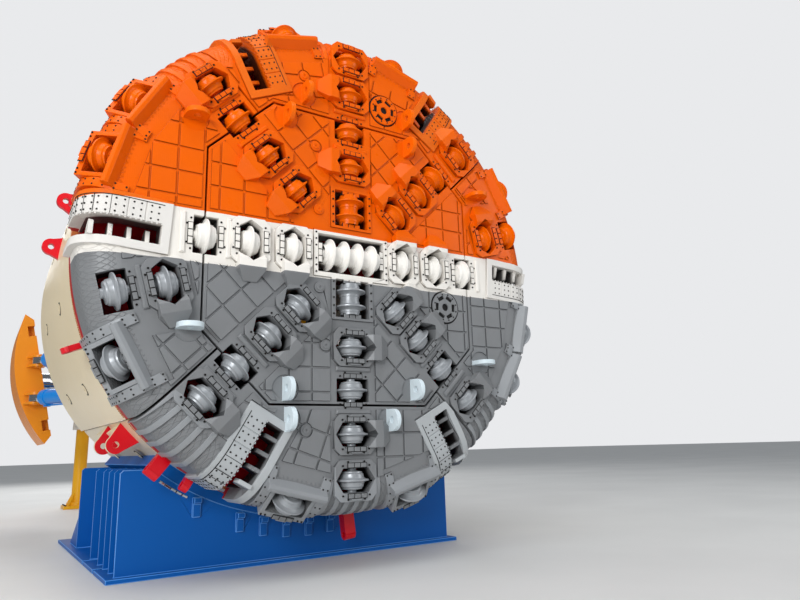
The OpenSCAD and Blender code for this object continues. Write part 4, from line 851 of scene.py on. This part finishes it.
def make_wear_plates():
    """Seams, screws and weld beads of the bolted plates along the buckets and of the bands at the gauge."""
    # Ends of the plates along the skin, from where the corner starts
    edges = (-0.5, -0.285, -0.07, 0.117, 0.304, 0.437, 0.57, 0.77, 0.97, 1.14)
    seams, borders, screws, beads = [], [], [], []
    along_skin = Matrix.Rotation(QUARTER, 4, "Z")
    for angle in BUCKET_ANGLES:
        seams += [over_corner(angle, along, 0, 0.043) for along in edges[3:9]]
        borders += [over_corner(angle, -0.47 + 0.06 * count, -0.126, 0.042) @ along_skin
                    for count in range(28)]
        for low, high in zip(edges, edges[1:]):
            middle = (low + high) / 2
            screws += [over_corner(angle, middle + step, aside, 0.043) for step in (-0.045, 0.045)
                       for aside in (-0.085, 0, 0.085)]
        for count in range(52):
            along = -0.49 + 0.0315 * count
            beads.append(over_corner(angle, along, 0.128 + 0.007 * (-1) ** count, 0.04))
    for angle in GAUGE_ANGLES:
        for side in (-1, 1):
            screws += [over_corner(angle, -0.03 + 0.125 * count, side * 0.4 + aside, 0.033 + 0.003 * side)
                       for count in range(9) for aside in (-0.035, 0.035)]
    seam = block_model("seam_model", 0.008, 0.25, 0.003, 0.001)
    border = block_model("border_model", 0.012, 0.066, 0.004, 0.001)
    lines = join("wear_plate_seams", [repeat("seams", seam, seams), repeat("borders", border, borders)])
    give(lines, "cutterhead", pocket_black)
    screw = screw_model(0.013, 0.006)
    give(repeat("wear_plate_screws", screw, screws), "cutterhead", bolt_steel)
    bead = block_model("weld_bead_model", 0.024, 0.016, 0.009, 0.006)
    give(repeat("bucket_weld_beads", bead, beads), "cutterhead", wear_coats)
    drop(seam, border, screw, bead)


def make_hatches():
    """Dark rims, windows and screws of the round hatches, and the plugs of the water nozzles."""
    rim = disc_model("hatch_rim_model", 0.272, 0.012)
    window = block_model("hatch_window_model", 0.062, 0.122, 0.016, 0.002)
    windows, screws = [], []
    for x, z in HATCHES:
        middle = on_face(x, z)
        for count in range(6):
            turn = Matrix.Rotation(math.radians(-60 * count), 4, "Z")
            windows.append(middle @ turn @ Matrix.Translation((0.16, 0, 0)))
        for count in range(12):
            turn = Matrix.Rotation(math.radians(30 * count + 15), 4, "Z")
            screws.append(middle @ turn @ Matrix.Translation((0.215, 0, 0.04)))
    rims = repeat("hatch_rims", rim, [on_face(x, z) for x, z in HATCHES])
    dark = join("hatch_shadows", [rims, repeat("hatch_windows", window, windows)])
    give(dark, "cutterhead", pocket_black)
    screw = screw_model(0.012, 0.008)
    give(repeat("hatch_screws", screw, screws), "cutterhead", bolt_steel)
    plug = disc_model("nozzle_plug_model", 0.05, 0.014, 0.018, 24)
    give(repeat("nozzle_plugs", plug, [on_face(x, z, 0.03) for x, z in NOZZLES]), "cutterhead", head_coats)
    drop(rim, window, screw, plug)


# Shield


def on_shell(angle, depth, rise=0.0):
    """Frame of a flat detail on the shield's outside."""
    return on_spoke(SHIELD_RADIUS + rise, angle, depth) @ Matrix.Rotation(QUARTER, 4, "Y")


def make_shell_details():
    """Torch-cut beads behind the front edges, clear of the turning brackets, and plugs of the grout holes."""
    bead = block_model("cut_bead_model", 0.03, 0.034, 0.008, 0.006)
    plug = disc_model("plug_model", 0.078, 0.014, 0.03, 24)
    ring = disc_model("plug_ring_model", 0.1, 0.008, 0, 24)
    for piece, low, high in SHELLS:
        steps = range(2, 2 * (high - low) - 1)
        beads = [on_shell(low + step / 2, SHIELD_FRONT + 0.022, -0.001) for step in steps]
        give(repeat(f"{piece}_edge_beads", bead, beads), BODY_OF[piece], edge_rust)
        holes = [(angle, depth) for angle in range(low + 10, high, 20) for depth in (2.52, 4.4)]
        rings = repeat(f"{piece}_plug_rings", ring, [on_shell(*hole, -0.003) for hole in holes])
        give(rings, BODY_OF[piece], pocket_black)
        plugs = repeat(f"{piece}_plugs", plug, [on_shell(*hole, -0.003) for hole in holes])
        give(plugs, BODY_OF[piece], cream_paint)
    drop(bead, plug, ring)


def make_clips():
    """Row of light clips under the shield on both sides of the cradle's front web."""
    clip = block_model("clip_model", 0.035, 0.09, 0.02, 0.008)
    places = [flat(on_spoke(3.893, angle, 1.6)) for middle in (238.2, 301.8)
              for angle in (middle - 2.8, middle - 1.4, middle, middle + 1.4, middle + 2.8)]
    give(repeat("cradle_clips", clip, places), "root", chrome)
    drop(clip)


# Main beam and what it carries

# Turn that lays a bar along the machine; the beam's top and side
ALONG = Matrix.Rotation(-QUARTER, 4, "X")
BEAM_TOP = 5.9
BEAM_SIDE = 0.85
# Faces of the beam's flanges: place along the machine, and the way that they face
FLANGE_FACES = [(-1.33, -1), (-1.17, 1), (-5.96, 1)]
# Walkway: side of its rails, middle of its length, length of a rail
RAIL_SIDE = 0.76
WALK_MIDDLE = 4.75
WALK_LENGTH = 6.1


def rod_model(name, radius, length, sides=12):
    """Round bar on its foot, with eased ends."""
    made = start("cylinder", name, vertices=sides, radius=radius, depth=length)
    bpy.ops.mesh.select_all(action="SELECT")
    bpy.ops.transform.translate(value=(0, 0, length / 2))
    pick(made, lambda centre, normal: abs(normal.z) > 0.9)
    bpy.ops.mesh.bevel(offset=radius * 0.25, segments=2, affect="EDGES")
    return close(made)


def bolt_model(radius, height):
    """Hexagon head with chamfered corners on its washer."""
    washer = disc_model("washer_model", radius * 1.35, height * 0.25, 0, 12)
    head = start("cylinder", "bolt_head_model", vertices=6, radius=radius, depth=height)
    bpy.ops.mesh.select_all(action="SELECT")
    bpy.ops.transform.translate(value=(0, 0, height * 0.7))
    pick(head, top)
    bpy.ops.mesh.bevel(offset=radius * 0.12, segments=1, affect="EDGES")
    return join("bolt_model", [close(head), washer])


def make_walkway():
    """Walkway on the beam with its rails, behind the reach of the drills."""
    tread = block_model("tread_model", 1.4, 1.2, 0.03, 0.006)
    treads = [Matrix.Translation((0, 2.3 + 1.22 * count, BEAM_TOP)) for count in range(5)]
    give(repeat("walkway_treads", tread, treads), "root", tread_steel)
    post = rod_model("post_model", 0.024, 1.08)
    foot = block_model("post_foot_model", 0.1, 0.1, 0.016, 0.005)
    rail = rod_model("rail_model", 0.02, WALK_LENGTH)
    toe = block_model("toe_board_model", 0.1, WALK_LENGTH, 0.008, 0.002)
    stands, rails, boards = [], [], []
    rail_start = WALK_MIDDLE - WALK_LENGTH / 2
    for side in (-1, 1):
        stands += [Matrix.Translation((side * RAIL_SIDE, 1.75 + 1.2 * count, BEAM_TOP)) for count in range(6)]
        rails += [Matrix.Translation((side * RAIL_SIDE, rail_start, BEAM_TOP + height)) @ ALONG
                  for height in (0.55, 1.06)]
        boards.append(Matrix.Translation((side * (RAIL_SIDE - 0.025), WALK_MIDDLE, BEAM_TOP + 0.08))
                      @ Matrix.Rotation(QUARTER, 4, "Y"))
    made = [repeat("posts", post, stands), repeat("feet", foot, stands), repeat("rails", rail, rails),
            repeat("boards", toe, boards)]
    give(join("walkway_rails", made), "root", yellow_paint)
    drop(tread, post, foot, rail, toe)


def make_pipes():
    """Oil and water pipes along both sides of the rear beam, in their clamps."""
    pipe = rod_model("pipe_model", 0.03, 8.9)
    clamp = block_model("pipe_clamp_model", 0.38, 0.07, 0.1, 0.012)
    fitting = rod_model("pipe_end_model", 0.042, 0.14, 6)
    pipes, clamps, ends = [], [], []
    for side in (-1, 1):
        outward = Matrix.Rotation(QUARTER * side, 4, "Y")
        for height in (5.44, 5.56, 5.68):
            place = Matrix.Translation((side * (BEAM_SIDE + 0.055), -1.1, height)) @ ALONG
            pipes.append(place)
            ends += [place, place @ Matrix.Translation((0, 0, 8.8))]
        clamps += [Matrix.Translation((side * BEAM_SIDE, -0.7 + 1.2 * count, 5.56)) @ outward
                   for count in range(8)]
    give(repeat("beam_pipes", pipe, pipes), "root", dark_steel)
    give(repeat("beam_pipe_clamps", clamp, clamps), "root", sky_blue_paint)
    give(repeat("beam_pipe_ends", fitting, ends), "root", chrome)
    drop(pipe, clamp, fitting)


def make_flange_bolts():
    """Bolts around the flanges of the beam and on the feet of the rear legs."""
    bolt = bolt_model(0.026, 0.03)
    places = []
    for depth, side in FLANGE_FACES:
        outward = Matrix.Rotation(-QUARTER * side, 4, "X")
        spots = [(across * 0.9, 4.42 + 0.17 * count) for across in (-1, 1) for count in range(9)]
        spots += [(-0.8 + 0.16 * count, height) for height in (4.25, 5.95) for count in range(11)]
        places += [Matrix.Translation((x, depth, z)) @ outward for x, z in spots]
    give(repeat("flange_bolts", bolt, places), "root", bolt_steel)
    # Feet: side and middle of the leg, then the bolts around it
    for side, body in ((-1, "leg_left"), (1, "leg_right")):
        feet = [Matrix.Translation((side * 1.35 + x, 7.55 + y, 0.1))
                for x in (-0.39, 0.39) for y in (-0.34, 0, 0.34)]
        give(repeat(f"{body}_foot_bolts", bolt, feet), body, bolt_steel)
    drop(bolt)


aim_camera()
make_stage()
# Coats of the nodes that show as they are
for name in COATS:
    nodes[name].data.materials.clear()
    nodes[name].data.materials.append(COATS[name])
for name in HEAD_NODES:
    dressed(name)
make_clamps()
make_ledges()
make_wear_plates()
make_hatches()
make_shell_details()
make_clips()
make_walkway()
make_pipes()
make_flange_bolts()
for name in EASED_NODES:
    dressed(name, SMALL_EASE if name.startswith(("shield", "gripper")) else EASE)
make_cutters()
